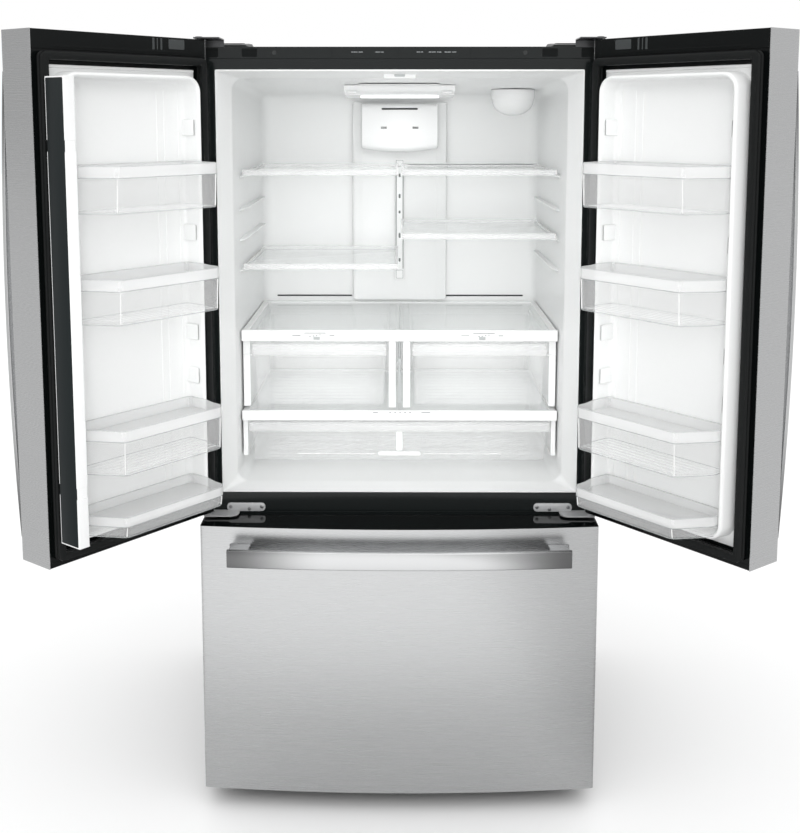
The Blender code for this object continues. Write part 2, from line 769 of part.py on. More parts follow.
def door_liner(label, side, parent):
    """The white inner panel with the raised wall that the bins sit between."""
    panel = cuboid(LINER_U, (-0.004, DOOR_BACK), LINER_Z)
    wall = round_edges(cuboid(DIKE_U, (-0.002, DIKE_HEIGHT), DIKE_Z), 1, 0.012)
    inside = cuboid(
        (DIKE_U[0] + DIKE_WALL, DIKE_U[1] - DIKE_WALL),
        (-0.0005, DIKE_HEIGHT + 0.01),
        (DIKE_Z[0] + 0.004, DIKE_Z[1] - DIKE_WALL),
    )
    made = piece(f"{label}_door_liner", "white_plastic", [panel, wall], [inside], parent, side)
    if side > 0:
        u, v = MULLION_PIVOT
        for z in MULLION_HINGES:
            arm = cuboid((DIKE_U[1] - 0.008, u + 0.006), (v - 0.008, v + 0.008), (z - 0.007, z + 0.007))
            pin = cylinder((u, v), 0.003, (z - 0.018, z + 0.018), segments=12)
            add_boolean(made, arm, "UNION", side)
            add_boolean(made, pin, "UNION", side)


def door_gasket(label, side, parent):
    body, hole = ring(GASKET_U, GASKET_Z, GASKET_WIDTH, (DOOR_BACK + GAP, GASKET_FACE))
    piece(f"{label}_door_gasket", "gasket_rubber", [body], [hole], parent, side)


def bin_outline(inset):
    """A door bin's plan, cut off at its free corner so that it clears the other door."""
    low, high = DIKE_U[0] + DIKE_WALL + 0.0015, DIKE_U[1] - DIKE_WALL - 0.0015
    return [
        (low + inset, DOOR_BACK + 0.001 + inset),
        (low + inset, 0.065),
        (low + 0.011 + inset, 0.100),
        (low + 0.012 + inset, 0.128),
        (low + 0.026, 0.140 - inset),
        (0.345 - 0.6 * inset, 0.140 - inset),
        (high - inset, 0.060 + 0.3 * inset),
        (high - inset, DOOR_BACK + 0.001 + inset),
    ]


def door_bin(label, number, side, parent):
    low, high = BIN_HEIGHTS[number - 1]
    body = prism(bin_outline(0.0), (low, high))
    space = prism(bin_outline(BIN_WALL), (low + BIN_WALL, high + 0.01))
    piece(f"{label}_door_bin_{number}", "clear_plastic", [body], [space], parent, side)


def handle_outline(low, high, base, reach, rise, steps=10):
    """Side view of a bowed bar on two end feet: base gives the surface it stands on."""
    middle, half, foot = (low + high) / 2, (high - low) / 2, 0.030

    def outer(t):
        return base(t) - reach - rise * (1 - ((t - middle) / half) ** 2)

    across = [low + (high - low) * i / steps for i in range(steps + 1)]
    inner = [low + foot] + across[1:-1] + [high - foot]
    points = [(low, base(low) - GAP)] + [(t, outer(t)) for t in across]
    points += [(high, base(high) - GAP), (high - foot, base(high - foot) - GAP)]
    points += [(t, outer(t) + HANDLE_THICK) for t in reversed(inner)]
    points += [(low + foot, base(low + foot) - GAP)]
    return points


def door_handle(label, side, parent):
    surface = min(door_front(DOOR_HANDLE_U + HANDLE_WIDTH / 2), door_front(DOOR_HANDLE_U))
    outline = handle_outline(*DOOR_HANDLE_Z, lambda z: surface, HANDLE_REACH, HANDLE_BOW)
    extent = (DOOR_HANDLE_U - HANDLE_WIDTH / 2, DOOR_HANDLE_U + HANDLE_WIDTH / 2)
    body = prism([(v, z) for z, v in outline], extent, "X")
    piece(f"{label}_door_handle", "stainless_steel", [body], parent=parent, side=side, bevel=0.003)


def mullion(parent):
    """The folding centre post on the left door, with its rounded pivot edge and two hinge notches."""
    bm = cuboid(MULLION_U, MULLION_V, MULLION_Z)
    edges = [
        edge
        for edge in bm.edges
        if abs(edge.verts[0].co.z - edge.verts[1].co.z) > 0.5 and edge.verts[0].co.y < 0.05
    ]
    bmesh.ops.bevel(
        bm, geom=edges, offset=0.010, segments=3, profile=0.5, affect="EDGES", offset_type="OFFSET"
    )
    u, v = MULLION_PIVOT
    notches, holes = [], []
    for z in MULLION_HINGES:
        notches.append(cuboid((u - 0.03, u + 0.03), (v - 0.03, v + 0.014), (z - 0.009, z + 0.009)))
        holes.append(cylinder((u, v), 0.0036, (z - 0.020, z + 0.020), segments=12))
    piece("mullion", "black_plastic", [bm], [group(*notches), group(*holes)], parent)


def door(label, side, parent):
    pin = empty(f"{label}_door_hinge", (-side * PIN_X, PIN_Y, 0.0), parent, -side * DOOR_OPEN_DEG)
    door_skin(label, side, pin)
    door_frame(label, side, pin)
    door_liner(label, side, pin)
    door_gasket(label, side, pin)
    door_handle(label, side, pin)
    for number in range(1, len(BIN_HEIGHTS) + 1):
        door_bin(label, number, side, pin)
    return pin


# Freezer drawer


def drawer_section(inset):
    return front_section(-DRAWER_HALF, DRAWER_HALF, bow, DRAWER_BACK, inset, steps=12)


def drawer_skin(parent):
    body = prism(skin_outline(drawer_section), (DRAWER_BOTTOM, DRAWER_TOP))
    piece("drawer_skin", "stainless_steel", [body], parent=parent)


def drawer_frame(parent):
    body = prism(drawer_section(SHEET + GAP), (DRAWER_BOTTOM + GAP, DRAWER_TOP - GAP))
    opening = cuboid((-0.4103, 0.4103), (-0.2, 0.1), (0.0847, 0.6503))
    piece("drawer_frame", "black_plastic", [body], [opening], parent)


def drawer_liner(parent):
    """The white inner panel with its raised wall, and the arms that carry the bin."""
    panel = cuboid((-0.410, 0.410), (-0.034, DRAWER_BACK), (0.085, 0.650))
    wall = round_edges(cuboid((-0.385, 0.385), (-0.032, 0.004), (0.112, 0.632)), 1, 0.012)
    inside = cuboid((-0.370, 0.370), (-0.030, 0.010), (0.127, 0.617))
    arms = both_sides((0.372, 0.384), (0.000, 0.400), (0.402, 0.426))
    made = piece("drawer_liner", "white_plastic", [panel, wall], [inside], parent)
    add_boolean(made, arms, "UNION", 1)


def drawer_gasket(parent):
    body, hole = ring(
        (-0.4375, 0.4375), (0.0600, 0.6735), 0.0150, (DRAWER_BACK + GAP, -GAP)
    )
    piece("drawer_gasket", "gasket_rubber", [body], [hole], parent)


def drawer_handle(parent):
    half = DRAWER_HANDLE_HALF
    reach = DRAWER_HANDLE_REACH
    body = prism(handle_outline(-half, half, bow, reach, 0.0, steps=16), DRAWER_HANDLE_Z)
    piece("drawer_handle", "stainless_steel", [body], parent=parent, bevel=0.003)


def drawer_bin(parent):
    solids, cuts = tray((-0.368, 0.368), (0.012, 0.405), (0.125, 0.428), WALL, corner=0.020)
    piece("drawer_bin", "white_plastic", solids, cuts, parent)


def drawer_basket(parent):
    solids, cuts = tray((-0.3675, 0.3675), (0.030, 0.285), (0.4290, 0.5500), WALL, corner=0.015)
    piece("drawer_basket", "clear_plastic", solids, cuts, parent)


def build():
    root = empty("refrigerator", (0.0, FLANGE_Y, 0.0))
    cabinet_wrapper(root)
    back_panel(root)
    front_frame(root)
    control_panel(root)
    fresh_food_liner(root)
    freezer_liner(root)
    ceiling_light(root)
    air_tower(root)
    filter_housing(root)
    shelf_track(root)
    shelf("upper_left_shelf", (-SHELF_HALF, -0.004), UPPER_SHELF, root)
    shelf("upper_right_shelf", (0.004, SHELF_HALF), UPPER_SHELF, root)
    shelf("lower_left_shelf", (-SHELF_HALF, -0.004), LOWER_LEFT_SHELF, root)
    shelf("lower_right_shelf", (0.004, SHELF_HALF), LOWER_RIGHT_SHELF, root)
    crisper_cover(root)
    deli_cover(root)
    base_pan(root)
    rear_cover(root)
    compressor(root)
    condenser_coil(root)
    evaporator(root)
    evaporator_cover(root)
    evaporator_fan(empty("fan_axis", (0.0, FAN_Y, FAN_Z), root))
    for label, side in (("left", 1), ("right", -1)):
        # Cabinet pieces are drawn on the +X side, so the left one is the mirrored one.
        top_hinge(f"{label}_top_hinge", -side, root)
        hinge_cover(f"{label}_hinge_cover", -side, root)
        middle_hinge(f"{label}_middle_hinge", -side, root)
        humidity_slider(f"{label}_humidity_slider", -side, root)
        crisper(f"{label}_crisper", -side, root)
        pin = door(label, side, root)
        if label == "left":
            mullion(pin)
    deli_drawer(root)
    drawer = empty("freezer_drawer", (0.0, 0.0, 0.0), root)
    drawer_skin(drawer)
    drawer_frame(drawer)
    drawer_liner(drawer)
    drawer_gasket(drawer)
    drawer_handle(drawer)
    drawer_bin(drawer)
    drawer_basket(drawer)


build()
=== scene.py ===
"""Looks of the french door refrigerator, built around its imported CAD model."""

import json
import math

import bmesh
import bpy
from mathutils import Matrix, Vector


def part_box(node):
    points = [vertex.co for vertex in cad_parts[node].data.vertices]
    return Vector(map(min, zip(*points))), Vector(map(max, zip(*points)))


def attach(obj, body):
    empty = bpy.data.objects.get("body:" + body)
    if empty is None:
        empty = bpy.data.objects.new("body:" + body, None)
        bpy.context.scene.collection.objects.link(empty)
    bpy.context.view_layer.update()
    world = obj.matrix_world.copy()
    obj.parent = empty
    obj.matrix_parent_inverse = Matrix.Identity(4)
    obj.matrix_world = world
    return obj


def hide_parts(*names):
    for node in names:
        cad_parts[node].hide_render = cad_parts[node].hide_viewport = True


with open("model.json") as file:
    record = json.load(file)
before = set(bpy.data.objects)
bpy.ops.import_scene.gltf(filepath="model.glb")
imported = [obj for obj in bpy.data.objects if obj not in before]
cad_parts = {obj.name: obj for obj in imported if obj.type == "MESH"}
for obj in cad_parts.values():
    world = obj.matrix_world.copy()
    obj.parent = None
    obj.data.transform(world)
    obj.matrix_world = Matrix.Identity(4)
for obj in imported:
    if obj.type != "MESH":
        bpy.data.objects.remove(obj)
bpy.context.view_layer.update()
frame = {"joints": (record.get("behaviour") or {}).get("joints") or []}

# Places that everything is drawn from: the flange plane is y = 0 and a door is drawn from its pin

FLANGE_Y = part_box("front_frame")[0].y
PIN_X, PIN_Y = 0.442, -0.030
PIN_FOOT = (PIN_X, PIN_Y, 0.0)
FLANGE_HALF = 0.4527
JOINTS = {joint["name"]: joint for joint in frame["joints"]}
OPEN_DEG = -JOINTS["left_door_hinge"]["range_deg"][0]
CABINET = Matrix.Translation((0.0, FLANGE_Y, 0.0))
PIN = Matrix.Translation((-PIN_X, PIN_Y + FLANGE_Y, 0.0)) @ Matrix.Rotation(-math.radians(OPEN_DEG), 4, "Z")
FLIP = Matrix.Diagonal((-1.0, 1.0, 1.0, 1.0))
DOORS = {"left": PIN, "right": FLIP @ PIN}
SIDES = {"left": -1, "right": 1}

SHEET = 0.001
PHOTO_WIDTH, PHOTO_HEIGHT = 800.0, 833.0
BOW_FRONT, BOW_RISE, BOW_HALF = -0.118, 0.0245, 0.452
SHARP = math.radians(38)
AXIS_RADIUS = 0.0001  # where a turned profile meets its axis, as a tiny ring that a cap closes


# Shapes


class Shell:
    """Closed solids gathered into one mesh; ink picks the material of what is added next."""

    def __init__(self):
        self.verts, self.faces, self.inks, self.ink = [], [], [], 0

    def add(self, verts, faces):
        base = len(self.verts)
        self.verts += [tuple(v) for v in verts]
        self.faces += [tuple(base + i for i in face) for face in faces]
        self.inks += [self.ink] * len(faces)
        return self

    def loft(self, loops, ring=False):
        """Joins equal loops in turn, with both ends capped, or the last joined to the first."""
        n = len(loops[0])
        faces = []
        pairs = len(loops) if ring else len(loops) - 1
        for k in range(pairs):
            a, b = k * n, (k + 1) % len(loops) * n
            faces += [(a + i, a + (i + 1) % n, b + (i + 1) % n, b + i) for i in range(n)]
        if not ring:
            faces.append(tuple(reversed(range(n))))
            faces.append(tuple((len(loops) - 1) * n + i for i in range(n)))
        return self.add([p for loop in loops for p in loop], faces)

    def box(self, x, y, z):
        return self.prism(corners(x, y), z)

    def pad(self, axis, a, b, levels, radius, steps=5):
        """A block with rounded corners; each level is a place on the axis, or (place, inset)."""
        loops = []
        for level in levels:
            t, d = level if isinstance(level, tuple) else (level, 0.0)
            loops.append(plane(rrect(grow(a, -d), grow(b, -d), radius, steps), axis, t))
        return self.loft(loops)

    def prism(self, outline, extent, axis="Z"):
        return self.loft([plane(outline, axis, t) for t in extent])

    def strip(self, outer, inner, z):
        """A bent sheet: the two open lines are its faces, seen from above."""
        n, verts = len(outer), []
        for t in z:
            verts += [(p[0], p[1], t) for p in outer] + [(p[0], p[1], t) for p in inner]
        faces = []
        for i in range(n - 1):
            o, k = i, n + i
            faces.append((o, o + 1, 2 * n + o + 1, 2 * n + o))
            faces.append((k, 2 * n + k, 2 * n + k + 1, k + 1))
            faces.append((o, k, k + 1, o + 1))
            faces.append((2 * n + o, 2 * n + o + 1, 2 * n + k + 1, 2 * n + k))
        for i in (0, n - 1):
            faces.append((i, n + i, 3 * n + i, 2 * n + i))
        return self.add(verts, faces)

    def tube(self, points, radius, sides=10, hoop=None):
        """A wire through the points; hoop is the axis of a ring of them, joined to its own start."""
        points = [Vector(p) for p in points]
        last = len(points) - 1
        loops = []
        for i, p in enumerate(points):
            after = points[(i + 1) % len(points) if hoop else min(i + 1, last)]
            before = points[i - 1 if hoop else max(i - 1, 0)]
            ahead = (after - before).normalized()
            up = Vector((0, 0, 1)) if abs(ahead.z) < 0.9 else Vector((0, 1, 0))
            u = Vector(hoop) if hoop else ahead.cross(up).normalized()
            v = ahead.cross(u)
            loops.append([p + a * u + b * v for a, b in circle(radius, sides)])
        return self.loft(loops, ring=bool(hoop))

    def turned(self, profile, centre, axis="Z", sides=40):
        """A solid of revolution: profile is (radius, height) from one end to the other."""
        rings = [plane(circle(r, sides), axis, h) for r, h in profile]
        return self.loft([[Vector(p) + Vector(centre) for p in ring] for ring in rings])

    def disc(self, profile, centre, axis="Z", sides=40):
        """A turned solid whose profile leaves the axis at its first height and meets it at its last."""
        ends = [(AXIS_RADIUS, profile[0][1]), (AXIS_RADIUS, profile[-1][1])]
        return self.turned([ends[0], *profile, ends[1]], centre, axis, sides)


def plane(points, axis, t):
    if axis == "Z":
        return [(a, b, t) for a, b in points]
    if axis == "Y":
        return [(a, t, b) for a, b in points]
    return [(t, a, b) for a, b in points]


def circle(radius, sides, centre=(0.0, 0.0), start=0.0):
    turn = [start + math.tau * k / sides for k in range(sides)]
    return [(centre[0] + radius * math.cos(t), centre[1] + radius * math.sin(t)) for t in turn]


def spaced(count, first, pitch):
    return [first + pitch * k for k in range(count)]


def corners(a, b):
    return [(a[0], b[0]), (a[1], b[0]), (a[1], b[1]), (a[0], b[1])]


def arc(x, y, radius, start, stop, steps=5):
    turn = [math.radians(start + (stop - start) * k / steps) for k in range(steps + 1)]
    return [(x + radius * math.cos(t), y + radius * math.sin(t)) for t in turn]


def rrect(a, b, radius, steps=5):
    """A rounded rectangle in one plane."""
    points = []
    corner_signs = ((a[1], b[0], 1, -1), (a[1], b[1], 1, 1), (a[0], b[1], -1, 1), (a[0], b[0], -1, -1))
    for i, (x, y, sx, sy) in enumerate(corner_signs):
        points += arc(x - sx * radius, y - sy * radius, radius, 90 * i - 90, 90 * i, steps)
    return points


def grow(a, d):
    return (a[0] - d, a[1] + d)


def shifted(points, a=0.0, b=0.0):
    return [(a + p, b + q) for p, q in points]


def mirrored(side, a):
    return (a[0], a[1]) if side > 0 else (-a[1], -a[0])


def rounded(points, radius, steps=4):
    """The polygon with its corners rounded off."""
    out = []
    n = len(points)
    for i in range(n):
        p, q, r = (Vector(points[k % n]) for k in (i - 1, i, i + 1))
        reach = min(radius, 0.45 * (q - p).length, 0.45 * (r - q).length)
        a, b = q + (p - q).normalized() * reach, q + (r - q).normalized() * reach
        for k in range(steps + 1):
            t = k / steps
            out.append(tuple(a * (1 - t) ** 2 + q * 2 * t * (1 - t) + b * t**2))
    return out


def make(name, shell, materials, stands_for=(), body="cabinet", place=CABINET, bevel=0.0, segments=3):
    """One piece of the visual model, riding on a body."""
    mesh = bpy.data.meshes.new(name)
    mesh.from_pydata(shell.verts, [], shell.faces)
    mesh.polygons.foreach_set("material_index", shell.inks)
    mesh.transform(place)
    bm = bmesh.new()
    bm.from_mesh(mesh)
    bmesh.ops.recalc_face_normals(bm, faces=bm.faces)
    bm.to_mesh(mesh)
    bm.free()
    mesh.shade_smooth()
    mesh.set_sharp_from_angle(angle=SHARP)
    for material in materials if isinstance(materials, (list, tuple)) else [materials]:
        mesh.materials.append(material)
    piece = bpy.data.objects.new(name, mesh)
    bpy.context.scene.collection.objects.link(piece)
    if bevel:
        soften = piece.modifiers.new("soft_edges", "BEVEL")
        soften.width = bevel
        soften.segments = segments
        soften.limit_method = "ANGLE"
        soften.angle_limit = SHARP
        soften.harden_normals = True
        soften.use_clamp_overlap = True
    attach(piece, body)
    if stands_for:
        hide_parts(*stands_for)
    return piece


# Materials


def add_node(tree, kind, out, values, **settings):
    """Adds a shader node; each socket takes its value as a constant or as a link."""
    node = tree.nodes.new("ShaderNode" + kind)
    for name, value in settings.items():
        setattr(node, name, value)
    fill(tree, node, values)
    return node.outputs[out]


def fill(tree, node, values):
    for socket, value in values.items():
        if isinstance(value, bpy.types.NodeSocket):
            tree.links.new(value, node.inputs[socket])
        else:
            node.inputs[socket].default_value = value


def new_material(name, base, roughness, metallic=0.0, specular=0.5, coat=0.0):
    made = bpy.data.materials.new(name)
    made.use_nodes = True
    shader = made.node_tree.nodes["Principled BSDF"]
    fill(made.node_tree, shader, {"Base Color": (*base, 1.0), "Roughness": roughness, "Metallic": metallic,
                                  "Specular IOR Level": specular, "Coat Weight": coat})
    return made, made.node_tree, shader


def coordinates(tree, kind="Object"):
    return add_node(tree, "TexCoord", kind, {})


def noise(tree, scale, stretch=(1.0, 1.0, 1.0), detail=3.0):
    """Noise in the object's own metres; stretch sets the grain's direction."""
    grain = add_node(tree, "Mapping", "Vector", {"Vector": coordinates(tree), "Scale": stretch})
    return add_node(tree, "TexNoise", "Fac", {"Scale": scale, "Detail": detail, "Vector": grain})


def ranged(tree, value, low, high, start=0.3, stop=0.7, **settings):
    ends = {"From Min": start, "From Max": stop, "To Min": low, "To Max": high}
    return add_node(tree, "MapRange", "Result", {**ends, "Value": value}, **settings)


def tinted(tree, value, low, high, start=0.3, stop=0.7):
    ramp = tree.nodes.new("ShaderNodeValToRGB")
    for stop_at, place, colour in zip(ramp.color_ramp.elements, (start, stop), (low, high)):
        stop_at.position = place
        stop_at.color = (*colour, 1.0)
    tree.links.new(value, ramp.inputs["Fac"])
    return ramp.outputs["Color"]


def bumped(tree, value, strength, distance, shader):
    """A fine relief in the shader's normal."""
    sockets = {"Strength": strength, "Distance": distance, "Height": value}
    fill(tree, shader, {"Normal": add_node(tree, "Bump", "Normal", sockets)})


def shaded(share, colour):
    return tuple(min(1.0, share * c) for c in colour)


def brushed(name, base, roughness, grain, depth=0.000003, ends=None):
    """Brushed metal: fine lines along one axis, with a painted reflection that dims it towards both ends of
    a bar if ends says where.
    """
    made, tree, shader = new_material(name, base, roughness, metallic=1.0)
    lines = noise(tree, 1300.0, grain, detail=2.0)
    gloss = ranged(tree, lines, roughness - 0.012, roughness + 0.012)
    colour = tinted(tree, lines, shaded(0.990, base), shaded(1.006, base))
    if ends:
        # painted reflection: the colour falls to a quarter of the base towards the bar's ends
        colour = mixed(tree, painted_end_shade(tree, *ends), shaded(0.24, base), colour)
    fill(tree, shader, {"Roughness": gloss, "Base Color": colour})
    bumped(tree, lines, 0.03, depth, shader)
    return made


def mixed(tree, factor, low, high):
    sockets = {"A": (*low, 1.0), "Factor": factor, "B": high}
    return add_node(tree, "Mix", "Result", sockets, data_type="RGBA")


def component(tree, vector, axis):
    return add_node(tree, "SeparateXYZ", axis, {"Vector": vector})


def combined(tree, operation, *values):
    return add_node(tree, "Math", "Value", dict(enumerate(values)), operation=operation)


def painted_end_shade(tree, axis, middle, half):
    """Mask of a painted reflection: 1 along a bar's middle, falling to 0 at its two ends, where it curves
    away.
    """
    place = component(tree, coordinates(tree), axis)
    away = combined(tree, "ABSOLUTE", combined(tree, "SUBTRACT", place, middle))
    return ranged(tree, away, 0.0, 1.0, half, 0.42 * half, interpolation_type="SMOOTHSTEP")


def moulded(name, base, roughness, specular=0.5, texture=900.0, depth=0.00005, spread=0.06, coat=0.0):
    """Moulded plastic or paint: a fine skin texture with slightly uneven gloss and tone."""
    made, tree, shader = new_material(name, base, roughness, specular=specular, coat=coat)
    skin = noise(tree, texture, detail=2.0)
    gloss = ranged(tree, skin, max(0.02, roughness - spread), min(1.0, roughness + spread), 0.1, 0.9)
    tone = tinted(tree, skin, shaded(0.98, base), shaded(1.01, base))
    fill(tree, shader, {"Roughness": gloss, "Base Color": tone})
    bumped(tree, skin, 0.2, depth, shader)
    return made


def see_through(name, base, roughness, facing, grazing, texture=300.0, depth=0.00004):
    """Thin clear plastic or glass: seen through square on, and milkier or greener at its edges."""
    made, tree, shader = new_material(name, base, roughness)
    ripple = noise(tree, texture, detail=2.0)
    fill(tree, shader, {"Roughness": ranged(tree, ripple, roughness, roughness + 0.02)})
    bumped(tree, ripple, 0.15, depth, shader)
    turned_away = add_node(tree, "LayerWeight", "Facing", {"Blend": 0.35})
    fill(tree, shader, {"Alpha": ranged(tree, turned_away, facing, grazing, 0.0, 1.0)})
    return made


VERTICAL, ALONG_X, EVEN = (1.0, 1.0, 0.004), (0.004, 0.005, 1.0), (1.0, 1.0, 1.0)
STEEL = brushed("stainless_brushed", (0.62, 0.625, 0.63), 0.27, ALONG_X)
# Both handle steels carry a painted reflection, darker towards the ends of each bar.
BAR_STEEL = brushed("handle_steel", (0.70, 0.705, 0.71), 0.20, VERTICAL, ends=("Z", 1.203, 0.483))
BAR_STEEL_X = brushed("handle_steel_x", (0.70, 0.705, 0.71), 0.20, ALONG_X, ends=("X", 0.0, 0.384))
HINGE_DARK = brushed("hinge_dark_steel", (0.11, 0.112, 0.115), 0.28, EVEN, 0.00002)
ZINC = moulded("zinc_plate", (0.44, 0.445, 0.45), 0.32, specular=0.9, depth=0.00001)
ALUMINIUM = brushed("fin_aluminium", (0.76, 0.77, 0.78), 0.33, (1.0, 1.0, 0.05))
BLACK = moulded("black_gloss", (0.007, 0.009, 0.009), 0.16, specular=0.32, texture=400.0, depth=0.00001)
BLACK_MIRROR = moulded("black_mirror", (0.002, 0.003, 0.003), 0.06, texture=400.0, depth=0.000004,
                       spread=0.02)
BLACK_DOOR = moulded("black_door", (0.003, 0.004, 0.004), 0.18, specular=0.18, texture=400.0, depth=0.00001)
BLACK_SATIN = moulded("black_satin", (0.012, 0.014, 0.014), 0.40, specular=0.35)
GREY_DARK = moulded("dark_grey_plastic", (0.045, 0.050, 0.051), 0.30)
WHITE = moulded("white_liner", (0.86, 0.868, 0.865), 0.30)
WHITE_GLOSS = moulded("white_trim", (0.90, 0.905, 0.905), 0.18, coat=0.3)
CLEAR = see_through("clear_wall", (0.975, 0.98, 0.98), 0.06, 0.06, 0.34, depth=0.00001)
FROSTED = see_through("frosted_rim", (0.965, 0.97, 0.97), 0.20, 0.26, 0.62, texture=900.0)
# Grey beads along the bins' band, floor line and rim: the rims are real, their grey tone is painted shade
# for the dark look of thick clear edges.
BEAD = see_through("clear_edge_painted_shade", (0.50, 0.53, 0.53), 0.10, 0.34, 0.60)
# White strips down the bins' front corners: a painted glint where the bent clear plastic would catch light.
PAINTED_GLINT = see_through("painted_corner_glint", (1.0, 1.0, 1.0), 0.08, 0.65, 0.80)
GLASS = see_through("shelf_glass", (0.92, 0.95, 0.945), 0.03, 0.08, 0.40)
RUBBER = moulded("gasket_rubber", (0.004, 0.005, 0.005), 0.45, specular=0.22, texture=1500.0)
CASE = moulded("case_paint", (0.050, 0.053, 0.053), 0.42, texture=1300.0, depth=0.00016)
COMPRESSOR = moulded("compressor_paint", (0.014, 0.014, 0.015), 0.38, texture=500.0, depth=0.0001)
PRINT = moulded("grey_print", (0.42, 0.44, 0.45), 0.50)
# Dark grey print on the drawer covers; the same colour is painted shade in the shelf track's slots, edge
# lines and bracket grooves.
DARK_PRINT_AND_SHADE = moulded("dark_print_and_shade", (0.16, 0.17, 0.17), 0.50)
# Near-black matt pads laid in the control strip's end pockets: painted shade for the recesses.
POCKET_SHADE = moulded("painted_pocket_shade", (0.004, 0.005, 0.005), 0.60, specular=0.15)
# Near-black sheets laid in the rear air slots and the hood's vents: painted shade inside the openings. The
# control strip's sensor dots use it too.
VOID = moulded("vent_shadow", (0.030, 0.032, 0.032), 0.80)
GREY_PLASTIC = moulded("grey_rail", (0.46, 0.48, 0.48), 0.35)
GREY_BLACK = moulded("post_face_dark", (0.016, 0.020, 0.021), 0.34, specular=0.08)
GREY_METAL = brushed("bracket_grey", (0.30, 0.305, 0.31), 0.30, EVEN)
STEEL_FOOT = brushed("handle_foot", (0.50, 0.505, 0.51), 0.26, EVEN)


def lamp_material():
    """The lit diffuser: a fine cell pattern that glows evenly."""
    made, tree, shader = new_material("lamp_diffuser", (0.95, 0.96, 0.96), 0.55)
    cells = noise(tree, 260.0, detail=1.0)
    tone = tinted(tree, cells, (0.93, 0.94, 0.94), (0.98, 0.98, 0.98))
    bumped(tree, cells, 0.3, 0.0002, shader)
    white = (1.0, 1.0, 1.0, 1.0)
    fill(tree, shader, {"Base Color": tone, "Emission Color": white, "Emission Strength": 0.55})
    return made


LAMP = lamp_material()

# Cabinet


def frame_ring(shell, x, z, hole_x, hole_z, y, radius=0.002):
    """A flat frame: outer rectangle x, z with a hole through it, between two y values."""
    outer, hole = rrect(x, z, 0.0005), rrect(hole_x, hole_z, radius)
    shell.loft([plane(outer, "Y", y[1]), plane(outer, "Y", y[0]), plane(hole, "Y", y[0]),
                plane(hole, "Y", y[1])], ring=True)


def build_front_frame():
    """The glossy flange around both compartments, split at the crossbar like the real pressing."""
    shell = Shell()
    for z, hole_z in (((0.6790, 1.7237), (0.7250, 1.7000)), ((0.0400, 0.6788), (0.0900, 0.6550))):
        frame_ring(shell, (-FLANGE_HALF, FLANGE_HALF), z, (-0.4133, 0.4133), hole_z, (0.0, 0.012))
    make("flange_frame", shell, BLACK, ["front_frame"], bevel=0.0012)


def build_control_panel():
    """The control strip with its button fields and status dots; its end pockets are built with the hinges.
    """
    strip = Shell().box((-FLANGE_HALF, FLANGE_HALF), (0.0008, 0.012), (1.7240, 1.7487))
    for x in (-0.323, -0.151, -0.003, 0.158, 0.323):
        strip.box((x - 0.0005, x + 0.0005), (0.0, 0.0012), (1.7262, 1.7470))
    make("control_strip", strip, BLACK, ["control_panel"], bevel=0.0008)
    marks = Shell()
    for x, width in ((-0.095, 0.026), (-0.045, 0.018), (0.045, 0.014), (0.079, 0.028), (0.113, 0.026)):
        start = x - width / 2
        for share, gap in ((0.20, 0.04), (0.12, 0.03), (0.16, 0.10), (0.14, 0.03), (0.18, 0.0)):
            marks.box((start, start + share * width), (0.00055, 0.0009), (1.7376, 1.7388))
            start += (share + gap) * width
    make("control_marks", marks, PRINT)
    dots = Shell()
    for x in (-0.280, 0.280):
        dots.turned([(AXIS_RADIUS, 0.0002), (0.0046, 0.0002), (0.0050, 0.0006), (0.0050, 0.0012)],
                    (x, 0.0, 1.7370), "Y", 28)
    make("control_sensors", dots, VOID)


LIP_Y, BACK_Y = 0.070, 0.628


def wall_half(y):
    return 0.386 - 0.003 * (y - LIP_Y) / (BACK_Y - LIP_Y)


def ceiling_z(y):
    return 1.683 - 0.026 * (y - LIP_Y) / (BACK_Y - LIP_Y)


def floor_z(y):
    return 0.730 + 0.003 * (y - LIP_Y) / (BACK_Y - LIP_Y)


